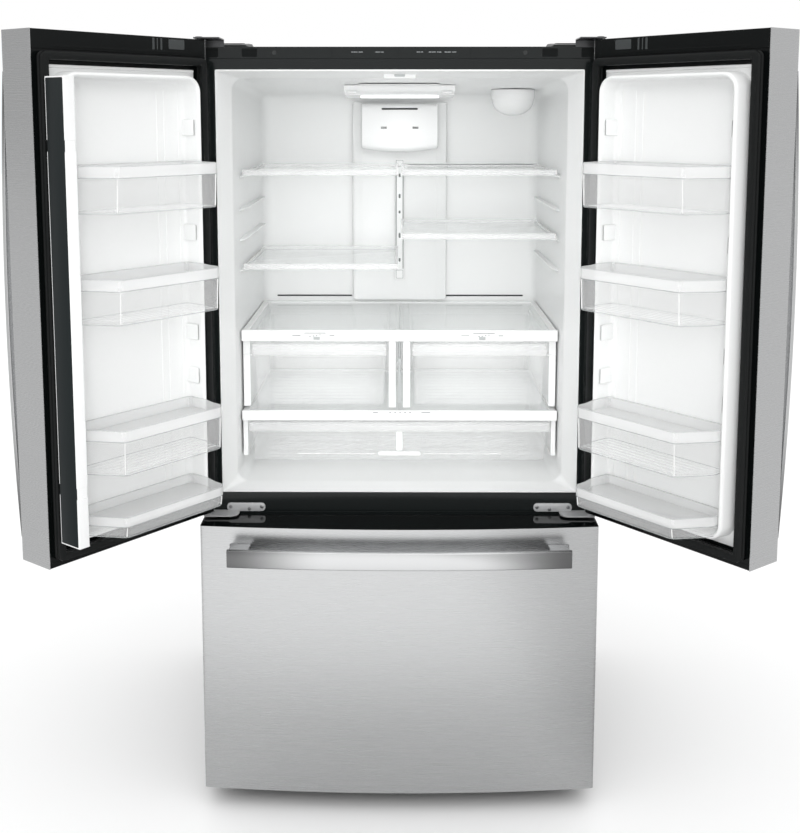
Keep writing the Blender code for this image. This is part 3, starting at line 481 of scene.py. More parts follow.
def build_fresh_liner():
    """The white tub: a flared mouth, a step up to the floor, rounded corners and a filleted back."""
    def inner(y, half, low, high, radius, d=0.0):
        return plane(rrect((-half + d, half - d), (low + d, high - d), radius, 7), "Y", y)

    def flare(y):
        share = y / LIP_Y
        return 0.4108 + (0.386 - 0.4108) * share, 1.6970 + (1.683 - 1.6970) * share

    loops = [plane(rrect((-0.392, 0.392), (0.7253, 1.668), 0.004, 7), "Y", 0.636)]
    loops.append(plane(rrect((-0.4130, 0.4130), (0.7253, 1.6997), 0.003, 7), "Y", 0.0005))
    mouth = (
        (0.0005, 0.7275, 0.003), (0.0170, 0.7277, 0.005), (0.0240, 0.7281, 0.007), (0.0320, 0.7285, 0.010),
        (0.0440, 0.7290, 0.014), (0.0540, 0.7295, 0.018), (0.0640, 0.7299, 0.022),
    )
    for y, low, radius in mouth:
        half, high = flare(y)
        loops.append(inner(y, half, low, high, radius))
    for y, d in ((0.0700, 0.0), (0.0760, 0.0), (0.6000, 0.0), (0.6130, 0.003), (0.6220, 0.009),
                 (0.6265, 0.017), (BACK_Y, 0.028)):
        loops.append(inner(y, wall_half(y), floor_z(y), ceiling_z(y), 0.028 + 0.3 * d, d))
    shell = Shell().loft(loops)
    shell.pad("Y", (-0.035, 0.035), (1.6815, 1.6950), (0.034, 0.060), 0.003)
    for x in ((-0.036, -0.0335), (0.0335, 0.036)):
        shell.box(x, (0.0300, 0.0335), (1.6815, 1.6950))
    make("fresh_tub", shell, WHITE, ["fresh_food_liner"])
    ledges = Shell()
    for side in (-1, 1):
        for top in (1.470, 1.390, 1.3165, 1.2425):
            high = top - 0.0128
            profile = [(0.3880, -0.012), (0.3880, 0.0), (0.3690, 0.0), (0.3705, -0.0055)]
            outline = rounded(shifted(profile, 0.0, high), 0.002)
            ledge = [(side * a, b) for a, b in outline]
            shrunk = [(0.3845 + 0.2 * (a - 0.3845), high - 0.004 + 0.3 * (b - high)) for a, b in outline]
            nose = [(side * a, b) for a, b in shrunk]
            ledges.loft([plane(nose, "Y", 0.168), plane(ledge, "Y", 0.184), plane(ledge, "Y", 0.575)])
    make("shelf_ledges", ledges, WHITE)
    # The rear air slots are near-black pads: painted shade.
    slots = Shell()
    for x in ((-0.345, -0.134), (0.131, 0.348)):
        slots.pad("Y", x, (1.0925, 1.0965), (0.6268, 0.6284), 0.0018)
    make("rear_air_slots", slots, VOID)
    catch = Shell()
    catch.pad("Y", (-0.012, 0.012), (1.6850, 1.6915), (0.0325, 0.0342), 0.002)
    make("post_guide_catch", catch, GREY_PLASTIC)


def build_ceiling_light():
    """A bright diffuser in a white housing with a comb of vent teeth along its front."""
    top = ceiling_z(0.262) - 0.0006
    outline = [(0.262, top), (0.420, ceiling_z(0.420) - 0.0006), (0.420, 1.6430), (0.400, 1.6425),
               (0.300, 1.6485), (0.268, 1.6580)]
    body = Shell().prism(rounded(outline, 0.004), (-0.1370, 0.1370), "X")
    for side in (-1, 1):
        wing = [(side * x, z) for x, z in corners((0.104, 0.130), (1.652, 1.6575))]
        body.prism(wing, (0.2600, 0.2640), "Y")
    make("lamp_housing", body, WHITE_GLOSS, ["ceiling_light"], bevel=0.0015)
    comb = Shell().box((-0.098, 0.098), (0.2155, 0.2620), (1.6712, top))
    for at in spaced(26, -0.094, 0.188 / 25):
        comb.box((at - 0.0013, at + 0.0013), (0.2155, 0.2600), (1.6694, 1.6715))
    make("lamp_vent_comb", comb, WHITE)
    glow = Shell()
    glow.pad("Z", (-0.098, 0.098), (0.305, 0.405), ((1.6480, 0.0), (1.6425, 0.0), (1.6421, 0.004)), 0.010)
    make("lamp_diffuser", glow, LAMP)


def build_air_tower():
    """The cold-air column: a broad rear duct with a bowed hood, its vents and seam lines."""
    tower = Shell()
    tower.loft([plane(rrect((-0.130 + d, 0.130 - d), (1.088, 1.634), 0.006), "Y", y)
                for y, d in ((0.6274, 0.0), (0.6060, 0.0), (0.6020, 0.0015), (0.6000, 0.005))])
    for side in (-1, 1):
        tower.box(mirrored(side, (0.1015, 0.1025)), (0.5990, 0.6010), (1.092, 1.630))
    tower.box((-0.128, 0.128), (0.5992, 0.6010), (1.4955, 1.4965))
    make("air_column", tower, WHITE, ["air_tower"])
    hood = Shell()
    loops = []
    for k in range(13):
        t = -1 + k / 6
        x = 0.104 * t
        sag = 0.010 * t * t
        front = 0.5565 + 0.006 * t * t
        outline = rounded([
            (0.6015, 1.4990 + sag), (0.6015, 1.6315), (front + 0.010, 1.6315),
            (front, 1.6240), (front + 0.0015, 1.5080 + sag), (front + 0.014, 1.4990 + sag),
        ], 0.008, 3)
        loops.append(plane(outline, "X", x))
    hood.loft(loops)
    make("air_hood", hood, WHITE_GLOSS, bevel=0.003)
    # The hood's vents are near-black pads: painted shade.
    vents = Shell()
    vents.pad("Y", (-0.049, 0.049), (1.6138, 1.6184), (0.5556, 0.5620), 0.002)
    for x in (-0.043, 0.043):
        for z in (1.5632, 1.5662):
            vents.box((x - 0.008, x + 0.008), (0.5560, 0.5640), (z, z + 0.0016))
    make("hood_vents", vents, VOID)


def build_filter():
    """The round filter cover: a shallow dome on a collar with a turning grip."""
    profile = [(AXIS_RADIUS, 1.6650), (0.0570, 1.6650), (0.0575, 1.6640), (0.0575, 1.6430), (0.0560, 1.6395)]
    for i in range(9):
        t = math.radians(90 * i / 8)
        profile.append((0.0545 * math.cos(t) + AXIS_RADIUS, 1.6375 - 0.0400 * math.sin(t)))
    shell = Shell().turned(profile, (0.296, 0.450, 0.0), "Z", 48)
    tooth, teeth = ((-0.002, -0.0012), (0.0013, -0.0008), (0.0013, 0.0008), (-0.002, 0.0012)), 24
    for k in range(teeth):
        t = math.tau * k / teeth
        u, v = Vector((math.cos(t), math.sin(t), 0)), Vector((-math.sin(t), math.cos(t), 0))
        root = Vector((0.296, 0.450, 0.0)) + 0.0560 * u
        loop = [root + a * u + b * v for a, b in tooth]
        shell.loft([[p + Vector((0, 0, z)) for p in loop] for z in (1.6445, 1.6585)])
    make("filter_cap", shell, WHITE_GLOSS, ["filter_housing"])


def build_track():
    """The slotted upright the half shelves hook into, with its end brackets."""
    rail = Shell()
    section = rounded([(-0.0125, 0.5970), (-0.0125, 0.5870), (-0.009, 0.5840), (0.009, 0.5840),
                       (0.0125, 0.5870), (0.0125, 0.5970)], 0.002, 2)
    rail.prism(section, (1.150, 1.476))
    for low, high in ((1.1460, 1.1760), (1.4560, 1.4800)):
        rail.pad("Y", (-0.013, 0.013), (low, high), (0.5832, 0.5972), 0.003)
    make("shelf_rail", rail, WHITE, ["shelf_track"], bevel=0.0008)
    # Dark pads for the slots, the lines along the channel's edges and the grooves round the brackets:
    # painted shade.
    slots = Shell()
    for side in (-1, 1):
        slots.box(mirrored(side, (0.0086, 0.0104)), (0.5834, 0.5846), (1.176, 1.456))
    for z, height in ((1.196, 0.010), (1.262, 0.014), (1.330, 0.008), (1.372, 0.012), (1.430, 0.010)):
        slots.pad("Y", (-0.0026, 0.0026), (z, z + height), (0.5836, 0.5846), 0.0024)
    for low, high in ((1.1485, 1.1735), (1.4585, 1.4775)):
        outer = rrect((-0.0105, 0.0105), (low, high), 0.002)
        inner = rrect((-0.0089, 0.0089), (low + 0.0016, high - 0.0016), 0.001)
        slots.loft([plane(outer, "Y", 0.5834), plane(inner, "Y", 0.5828), plane(inner, "Y", 0.5834)],
                   ring=True)
    make("rail_slots", slots, DARK_PRINT_AND_SHADE)


def build_shelf(node, x, top):
    """A half-width glass plate held by a frosted front trim, side rims and a rear stop."""
    glass = Shell()
    levels = shifted([(-0.0120, 0.0008), (-0.0112, 0.0), (-0.0068, 0.0), (-0.0060, 0.0008)], top)
    glass.pad("Z", (x[0] + 0.0045, x[1] - 0.0045), (0.1655, 0.5715), levels, 0.004)
    make(f"{node}_glass", glass, GLASS)
    rim = Shell()
    front = [(0.160, -0.0145), (0.1655, -0.015), (0.1730, -0.0130), (0.1730, -0.0045), (0.1680, -0.0002),
             (0.1620, -0.0004), (0.160, -0.0030)]
    back = [(0.5665, -0.0123), (0.5750, -0.0123), (0.5750, -0.0012), (0.5700, -0.0012), (0.5665, -0.0050)]
    across = grow(x, -0.0003)
    rim.prism(rounded(shifted(front, 0.0, top), 0.0022, 3), across, "X")
    rim.prism(rounded(shifted(back, 0.0, top), 0.0015, 2), across, "X")
    for at in (x[0], x[1] - 0.0065):
        side = rrect((at + 0.0003, at + 0.0062), (top - 0.0124, top - 0.0045), 0.0012, 2)
        rim.prism(side, (0.172, 0.568), "Y")
    make(f"{node}_rim", rim, FROSTED, [node])


def build_cover(node, top, front, trim_height, marks):
    """The glass top of a drawer bay in its white frame, with a deep front trim."""
    half, back = 0.3815, 0.611
    glass = Shell()
    glass.pad("Z", (-0.3640, 0.3640), (front + 0.011, back - 0.014), (top - 0.0080, top - 0.0040), 0.003)
    make(f"{node}_glass", glass, GLASS)
    body = Shell()
    outer = rrect((-half, half), (front + 0.003, back), 0.006)
    hole = rrect((-0.3655, 0.3655), (front + 0.016, back - 0.016), 0.004)
    eased = rrect((-half + 0.001, half - 0.001), (front + 0.004, back - 0.001), 0.005)
    body.loft([plane(outer, "Z", top - 0.010), plane(outer, "Z", top - 0.0035),
               plane(eased, "Z", top - 0.0025), plane(grow_ring(hole, 0.001), "Z", top - 0.0025),
               plane(hole, "Z", top - 0.0035), plane(hole, "Z", top - 0.010)], ring=True)
    profile = [(0.0, 0.001 - trim_height), (0.003, -trim_height), (0.012, 0.0005 - trim_height),
               (0.012, -0.0040), (0.0075, 0.0), (0.0030, -0.0003), (0.0, -0.0035)]
    trim = rounded(shifted(profile, front, top), 0.0025, 3)
    body.prism(trim, (-half, half), "X")
    make(f"{node}_frame", body, WHITE_GLOSS, [node])
    print_marks(node, front, top, marks)


def grow_ring(points, d):
    """Rounded-rectangle points moved out from their middle by d on each side."""
    cx = sum(p[0] for p in points) / len(points)
    cy = sum(p[1] for p in points) / len(points)
    return [(x + math.copysign(d, x - cx), y + math.copysign(d, y - cy)) for x, y in points]


def print_marks(node, front, top, marks):
    shell = Shell()
    for x, z, width in marks:
        shell.box((x - width / 2, x + width / 2), (front - 0.00025, front + 0.0008),
                  (top - z - 0.0010, top - z + 0.0006))
    make(f"{node}_marks", shell, DARK_PRINT_AND_SHADE)


def build_crisper_rails():
    """Side walls and the double post between the crispers, with the grey slide between them."""
    walls, rails = Shell(), Shell()
    low, high = 0.8907, 1.0755
    for side in (-1, 1):
        walls.pad("Y", mirrored(side, (0.3645, 0.3812)), (low, high), (0.160, 0.598), 0.002)
        walls.box(mirrored(side, (0.3600, 0.3650)), (0.1620, 0.5900), (1.0530, 1.0600))
        walls.box(mirrored(side, (0.3600, 0.3812)), (0.1560, 0.1640), (1.0180, 1.0205))
        post = [(side * x, y) for x, y in corners((0.0085, 0.0265), (0.147, 0.190))][::side]
        post = rounded(post, 0.003)
        walls.prism(post, (low, high))
        rails.box(mirrored(side, (0.0085, 0.0265)), (0.188, 0.598), (1.0520, high))
        walls.box(mirrored(side, (0.0080, 0.0268)), (0.1465, 0.1500), (1.0265, 1.0282))
    make("crisper_bay_walls", walls, WHITE_GLOSS, bevel=0.0008)
    make("crisper_bay_rails", rails, CLEAR, bevel=0.0008)
    rail = Shell()
    wedge = [(-0.0042, 0.900), (0.0042, 0.900), (0.0026, 1.006), (-0.0026, 1.006)]
    rail.prism(wedge, (0.1500, 0.5950), "Y")
    rail.pad("Y", (-0.0015, 0.0015), (1.006, 1.0700), (0.1510, 0.5950), 0.0008, 2)
    rail.disc([(0.0050, 0.0), (0.0055, 0.0008), (0.0055, 0.0030)], (0.0, 0.1470, 1.0080), "Y", 20)
    make("crisper_centre_slide", rail, GREY_PLASTIC, bevel=0.0004)


def build_deli_rails():
    """The side walls that the deli drawer runs between."""
    walls = Shell()
    for side in (-1, 1):
        walls.pad("Y", mirrored(side, (0.3702, 0.3812)), (0.7725, 0.8790), (0.141, 0.598), 0.002)
        walls.box(mirrored(side, (0.3680, 0.3812)), (0.1390, 0.1430), (0.8600, 0.8620))
    make("deli_bay_walls", walls, WHITE_GLOSS, bevel=0.0008)


def build_covers():
    top, marks = 1.084, []
    for centre in (-0.204, 0.204):
        marks += [(centre, 0.0068, 0.052), (centre - 0.045, 0.0132, 0.020), (centre + 0.041, 0.0132, 0.012)]
        marks += [(centre - 0.012 + 0.008 * k, 0.0150 - 0.0012 * k, 0.004) for k in range(4)]
    build_cover("crisper_cover", top, 0.137, 0.028, marks)
    build_crisper_rails()
    small = [(-0.058, 0.0040, 0.013), (0.064, 0.0040, 0.022)]
    small += [(-0.022 + 0.012 * k, 0.0042, 0.005) for k in range(5)]
    build_cover("deli_cover", 0.888, 0.125, 0.025, small)
    build_deli_rails()
    for label, side in SIDES.items():
        knob = Shell()
        outline = rounded([(0.1345, 1.0607), (0.1345, 1.0683), (0.1408, 1.0683), (0.1408, 1.0607)], 0.001, 2)
        knob.prism(outline, mirrored(side, (0.1922, 0.2078)), "X")
        for k in range(4):
            at = side * (0.1955 + 0.003 * k)
            knob.box((at - 0.0005, at + 0.0005), (0.1341, 0.1350), (1.0615, 1.0675))
        make(f"{label}_slider_knob", knob, GREY_PLASTIC, [f"{label}_humidity_slider"],
             body=f"{label}_humidity_slider")
        track = Shell().box(mirrored(side, (0.1645, 0.2355)), (0.1408, 0.1414), (1.0603, 1.0687))
        make(f"{label}_slider_slot", track, GREY_DARK)


def tub(shell, x, y, z, wall, radius, draft):
    """An open-topped moulded tub with drafted walls and rounded corners."""
    low, high = z
    floor, inside, tight = low + wall, wall + draft, radius * 0.8
    loops = (  # inset, height and corner radius, from under the floor over the rim to its upper side
        (draft + radius * 0.35, low, tight), (draft + radius * 0.08, low + radius * 0.12, radius),
        (draft, low + radius * 0.4, radius), (0.0015, high - 0.004, radius), (0.0, high - 0.0025, radius),
        (0.0, high - 0.0006, radius), (0.0008, high, radius), (wall, high, tight),
        (wall + 0.0015, high - 0.004, tight), (inside, floor + radius * 0.4, tight),
        (inside + radius * 0.1, floor + radius * 0.1, tight), (inside + radius * 0.4, floor, radius * 0.7),
    )
    shell.loft([plane(rrect(grow(x, -d), grow(y, -d), r, 6), "Z", height) for d, height, r in loops])


def build_crispers():
    """Both clear drawers with their frosted grips, floor ribs and rear ribs."""
    for label, side in SIDES.items():
        x = mirrored(side, (0.0312, 0.3568))
        shell = Shell()
        tub(shell, x, (0.1520, 0.5798), (0.8930, 1.0495), 0.0026, 0.014, 0.006)
        shell.ink = 1
        grip = [(0.1500, 1.0180), (0.1440, 1.0205), (0.1412, 1.0300), (0.1412, 1.0470), (0.1435, 1.0498),
                (0.1560, 1.0498), (0.1560, 1.0470), (0.1470, 1.0440), (0.1460, 1.0300), (0.1525, 1.0200)]
        shell.prism(rounded(grip, 0.0018, 2), grow(x, -0.0005), "X")
        ribs = Shell()
        for at in spaced(11, 0.180, 0.034):
            ribs.pad("Z", grow(x, -0.035), (at, at + 0.005), (0.8955, 0.8975), 0.002, 2)
        for at in spaced(5, 0.925, 0.020):
            ribs.box(grow(x, -0.030), (0.5735, 0.5755), (at, at + 0.0015))
        make(f"{label}_crisper_tub", shell, [CLEAR, FROSTED], [f"{label}_crisper"],
             body=f"{label}_crisper")
        make(f"{label}_crisper_ribs", ribs, CLEAR, body=f"{label}_crisper")


def build_deli_drawer():
    """The wide clear drawer with its white T-shaped grip."""
    shell = Shell()
    tub(shell, (-0.3652, 0.3652), (0.1412, 0.5848), (0.7565, 0.8575), 0.0026, 0.014, 0.008)
    shell.ink = 1
    grip = [(0.1402, 0.8320), (0.1340, 0.8335), (0.1302, 0.8400), (0.1302, 0.8555), (0.1325, 0.8578),
            (0.1450, 0.8578), (0.1450, 0.8555), (0.1350, 0.8530), (0.1348, 0.8400), (0.1412, 0.8345)]
    shell.prism(rounded(grip, 0.0015, 2), (-0.3650, 0.3650), "X")
    make("deli_drawer_tub", shell, [CLEAR, FROSTED], ["deli_drawer"], body="deli_drawer")
    handle = Shell()
    handle.pad("Y", (-0.0075, 0.0075), (0.7850, 0.8330), (0.1385, 0.1440), 0.003)
    handle.pad("Y", (-0.0520, 0.0520), (0.7720, 0.7820), (0.1400, 0.1500), 0.004)
    for side in (-1, 1):
        handle.box(mirrored(side, (0.060, 0.250)), (0.1440, 0.1470), (0.7745, 0.7765))
    make("deli_drawer_grip", handle, WHITE_GLOSS, body="deli_drawer", bevel=0.001)
    ribs = Shell()
    for at in spaced(9, 0.185, 0.044):
        ribs.pad("Z", (-0.325, 0.325), (at, at + 0.005), (0.7590, 0.7608), 0.002, 2)
    make("deli_drawer_ribs", ribs, CLEAR, body="deli_drawer")


def build_inside():
    build_front_frame()
    build_control_panel()
    build_fresh_liner()
    build_ceiling_light()
    build_air_tower()
    build_filter()
    build_track()
    left, right = (-0.3775, -0.004), (0.004, 0.3775)
    build_shelf("upper_left_shelf", left, 1.470)
    build_shelf("upper_right_shelf", right, 1.470)
    # A thin dark line along the front of the upper right shelf's rear stop.
    trim = Shell().box((0.022, 0.366), (0.5650, 0.5662), (1.4650, 1.4668))
    make("shelf_rear_dark_line", trim, DARK_PRINT_AND_SHADE, bevel=0.0003)
    build_shelf("lower_right_shelf", right, 1.3165)
    build_shelf("lower_left_shelf", left, 1.2425)
    build_covers()
    build_crispers()
    build_deli_drawer()


build_inside()


# Doors, drawn closed from the pin: u towards the free edge, v into the cabinet


def bow(x):
    return BOW_FRONT + BOW_RISE * (x / BOW_HALF) ** 2


def door_front(u):
    return bow(PIN_X - u) - PIN_Y


def front_section(low, high, front, back, d, steps=44, radius=0.006):
    """A bowed front with rounded corners and two straight sides, moved in by d."""
    reach = radius - d

    def corner(x, start):
        return arc(x, front(x) + radius, reach, start, start + 90, 6)

    along_front = [low + radius + (high - low - 2 * radius) * k / steps for k in range(1, steps)]
    middle = [(x, front(x) + d) for x in along_front]
    return [(low + d, back), *corner(low + radius, 180), *middle, *corner(high - radius, 270),
            (high - d, back)]


def held_back(section, limit):
    """The section with nothing further back than limit."""
    return [(x, min(y, limit)) for x, y in section]


def rim_around(shell, border, hole, deep, shoulder, face):
    """A flat rim between two outlines, with both edges of its face eased."""
    ease = 0.0008
    shell.loft([plane(border, "Y", deep), plane(border, "Y", shoulder),
                plane(grow_ring(border, -ease), "Y", face), plane(grow_ring(hole, ease), "Y", face),
                plane(hole, "Y", shoulder), plane(hole, "Y", deep)], ring=True)


DIKE_U, DIKE_Z = (0.045, 0.402), (0.742, 1.683)


def build_door_liner(label, body, place):
    """The white inner panel: a rounded wall around a shallow pan with bin lugs and flutes."""
    def loop(d, v, radius):
        return plane(rrect(grow(DIKE_U, -d), grow(DIKE_Z, -d), radius, 8), "Y", v)

    def foot(d, v):
        return plane(rrect(grow((0.0264, 0.4056), -d), grow((0.7254, 1.6966), -d), 0.006, 8), "Y", v)

    loops = [foot(0.0, -0.0035), foot(0.0, 0.0085), foot(0.0006, 0.0090)]
    wall = (
        (-0.0035, 0.0090), (-0.0010, 0.0098), (0.0, 0.0120), (0.0008, 0.0480), (0.0022, 0.0525),
        (0.0048, 0.0548), (0.0072, 0.0548), (0.0098, 0.0525), (0.0112, 0.0480), (0.0118, 0.0200),
        (0.0128, 0.0140), (0.0150, 0.0108), (0.0200, 0.0092), (0.0260, 0.0088),
    )
    loops += [loop(d, v, max(0.008, 0.036 - 0.9 * d)) for d, v in wall]
    shell = Shell().loft(loops)
    for u in ((0.0830, 0.1130), (0.1290, 0.1330), (0.0710, 0.0735)):
        flute = [plane(rrect(grow(u, g), (0.800, 1.650), 0.001 + g, 3), "Y", v)
                 for v, g in ((0.0080, 0.0015), (0.0098, 0.0))]
        shell.loft(flute)
    for z in (1.5720, 1.3440, 1.1230, 1.0250):
        for u in ((0.0568, 0.0640), (0.3830, 0.3902)):
            shell.pad("Y", u, (z - 0.018, z + 0.018), ((0.0085, 0.0), (0.0420, 0.0004), (0.0450, 0.0018)),
                      0.003, 3)
    if label == "left":
        for z in (0.860, 1.540):
            shell.box((0.3940, 0.4270), (0.0380, 0.0540), (z - 0.0070, z + 0.0070))
            shell.disc([(0.0030, z - 0.018), (0.0030, z + 0.018)], (0.421, 0.046, 0.0), "Z", 20)
    make(f"{label}_door_panel", shell, WHITE, [f"{label}_door_liner"], body=body,
         place=place)
    shelf = Shell()
    shelf.pad("Y", (0.0280, 0.4040), (1.6905, 1.6962), (0.0088, 0.0118), 0.002, 3)
    shelf.pad("Y", (0.0600, 0.3870), (0.7545, 0.7595), (0.0088, 0.0160), 0.002, 3)
    make(f"{label}_door_panel_ledges", shelf, WHITE_GLOSS, body=body, place=place,
         bevel=0.0008)


def build_gasket(label, body, place, u, z, base, face):
    """A bellows seal: a soft ring with a magnet bulge, two folds and its retaining foot."""
    depth = face - base
    section = [(0.0165, 0.0), (0.0175, 0.25), (0.0140, 0.36), (0.0170, 0.50), (0.0182, 0.72), (0.0170, 0.95),
               (0.0140, 1.0), (0.0050, 1.0), (0.0018, 0.95), (0.0004, 0.72), (0.0016, 0.50), (0.0046, 0.36),
               (0.0010, 0.22), (0.0020, 0.0)]
    loops = []
    for d, t in section:
        radius = 0.0035 + max(0.0, 0.010 - d)
        loops.append(plane(rrect(grow(u, -d), grow(z, -d), radius, 4), "Y", base + depth * t))
    seal = Shell().loft(loops, ring=True)
    make(f"{label}_seal", seal, RUBBER, [f"{label}_gasket"], body=body, place=place)


BINS = ((1.405, 1.500), (1.185, 1.278), (0.880, 0.975), (0.752, 0.797))


def bin_plan(d):
    low, high = 0.0587 + d, 0.3883 - d
    base = [
        (low, 0.0102 + d), (high, 0.0102 + d), (high, 0.0600 + 0.45 * d), (0.3450 - 0.55 * d, 0.1398 - d),
        (0.0860 + 0.5 * d, 0.1398 - d), (low + 0.0120, 0.1270), (low + 0.0110, 0.0990), (low, 0.0650),
    ]
    return rounded(base, 0.010, 4)


def build_bin(label, number, body, place):
    """A clear bin: drafted walls, a frosted band along the top and end clips."""
    low, high = BINS[number - 1]
    wall, rim = 0.0024, min(0.023, 0.45 * (high - low))
    band = high - rim

    def outlines(levels):
        return [plane(bin_plan(d), "Z", z) for d, z in levels]

    shell = Shell().loft(outlines((
        (0.0080, low), (0.0052, low + 0.0010), (0.0040, low + 0.0040), (0.0012, band),
        (0.0012 + wall, band), (0.0040 + wall, low + 0.0065), (0.0100, low + 0.0032))))
    shell.ink = 1
    shell.loft(outlines((
        (0.0014, band), (0.0004, band + 0.0006), (0.0002, high - 0.0012), (0.0010, high),
        (0.0028, high), (0.0036, high - 0.0012), (0.0036, band))))
    name = f"{label}_door_bin_{number}"
    make(f"{name}_tub", shell, [CLEAR, FROSTED], [name], body=body, place=place)
    details = Shell()
    for u in ((0.0588, 0.0625), (0.3845, 0.3882)):
        details.pad("Y", u, (high - 0.030, high - 0.004), (0.0112, 0.0280), 0.0015, 3)
    if number < 4:
        for k in range(6):
            v = 0.034 + 0.016 * k
            details.box((0.0800, 0.3500 - 0.006 * k), (v, v + 0.0016), (low + 0.0030, low + 0.0042))
    make(f"{name}_clips", details, FROSTED, body=body, place=place)
    # Beads with painted shade along the band, the floor line and the rim.
    beads = Shell()
    bead = ((0.0, 0.0), (0.0, 0.0012), (0.0018, 0.0012), (0.0018, 0.0))
    for d, z in ((0.0004, band - 0.0012), (0.0044, low + 0.0016), (0.0, high - 0.0013)):
        beads.loft(outlines(shifted(bead, d, z)), ring=True)
    make(f"{name}_beads", beads, BEAD, body=body, place=place)
    # Painted glints down the two front corners.
    glint = Shell()
    for u in (0.0860, 0.3440):
        glint.loft([plane(rrect((u - 0.0012, u + 0.0012), (v - 0.0012, v), 0.0005, 2), "Z", z)
                    for z, v in ((low + 0.005, 0.1354), (band - 0.002, 0.1378))])
    make(f"{name}_corners", glint, PAINTED_GLINT, body=body, place=place)


def build_handle(name, body, place, low, high, base, reach, rise, width, node, along, steel):
    """A bowed bar with softened edges on two stand-off feet; base is the surface they stand on."""
    middle, half, steps = (low + high) / 2, (high - low) / 2, 36
    thick = 0.011

    def outer(t):
        return base(t) - reach - rise * (1 - ((t - middle) / half) ** 2)

    def point(t, depth, across):
        return (across, depth, t) if along == "Z" else (t, depth, across)

    bar = Shell()
    loops = []
    for k in range(steps + 1):
        t = low + 0.0002 + (high - low - 0.0004) * k / steps
        face = outer(t)
        section = rrect((face + 0.0004, face + thick), grow(width, -0.0002), 0.0028, 3)
        loops.append([point(t, d, a) for d, a in section])
    bar.loft(loops)
    make(name, bar, steel, [node], body=body, place=place, bevel=0.0012, segments=2)
    feet = Shell()
    for end, way in ((low, 1), (high, -1)):
        loops = []
        for share, d in ((1.0, 0.0), (0.85, 0.0), (0.30, -0.0015), (0.0, 0.0008)):
            ends = sorted((end + way * (0.0008 - d), end + way * (0.0480 + d)))
            section = rrect(ends, grow(width, d - 0.0045), 0.003, 3)
            loop = []
            for t, across in section:
                surface = base(t) - 0.0006
                loop.append(point(t, surface - (surface - outer(t) - thick + 0.001) * share, across))
            loops.append(loop)
        feet.loft(loops)
    make(f"{name}_feet", feet, STEEL_FOOT, body=body, place=place)


def build_door(label):
    """One door: its steel skin, black core and caps, closer, inner panel, seal, bins and bar."""
    body, place = f"{label}_door", DOORS[label]

    def outer(d):
        return front_section(-0.010, 0.440, door_front, 0.009, d)

    skin = Shell().strip(outer(0.0), outer(SHEET), (0.686, 1.764))
    make(f"{label}_door_wrap", skin, STEEL, [f"{label}_door_skin"], body=body,
         place=place)
    core = Shell()
    section = outer(SHEET + 0.0003)
    back = 0.0085
    rim = held_back(section, back - 0.0015)
    core.prism(rim, (0.6863, 0.6990))
    core.prism(rim, (1.7230, 1.7637))
    core.prism(held_back(section, -0.006), (0.6990, 1.7230))
    border = rrect((-0.0087, 0.4387), (0.6990, 1.7230), 0.002, 4)
    hole = rrect((0.0260, 0.4060), (0.7250, 1.6970), 0.004, 4)
    rim_around(core, border, hole, -0.006, back - 0.0008, back)
    make(f"{label}_door_core", core, BLACK_DOOR, [f"{label}_door_frame"], body=body,
         place=place, bevel=0.0008)
    cap = Shell()
    cap.pad("Y", (-0.0086, 0.4386), (1.7262, 1.7626), (0.0060, 0.0088), 0.003, 3)
    cap.pad("Y", (0.0060, 0.3960), (1.7300, 1.7345), (0.0080, 0.0090), 0.0015, 2)
    cap.pad("Y", (-0.0086, 0.4386), (0.6872, 0.6985), (0.0060, 0.0088), 0.003, 3)
    make(f"{label}_door_caps", cap, BLACK_DOOR, body=body, place=place, bevel=0.0008)
    closer = Shell()
    for u, width in ((0.112, 0.010), (0.124, 0.006), (0.133, 0.012)):
        closer.pad("Y", (u, u + width * 0.55), (1.7360, 1.7610), (0.0075, 0.0089), 0.001, 2)
    closer.pad("Y", (0.0500, 0.0950), (1.7385, 1.7600), (0.0075, 0.0089), 0.002, 2)
    make(f"{label}_door_closer", closer, GREY_DARK, body=body, place=place, bevel=0.0006)
    build_door_liner(label, body, place)
    build_gasket(f"{label}_door", body, place, (0.002, 0.430), (0.7015, 1.7225), 0.0093, 0.0297)
    for number in range(1, 5):
        build_bin(label, number, body, place)
    surface = min(door_front(0.418), door_front(0.400))
    build_handle(f"{label}_door_bar", body, place, 0.720, 1.686, lambda t: surface, 0.033, 0.024,
                 (0.382, 0.418), f"{label}_door_handle", "Z", BAR_STEEL)


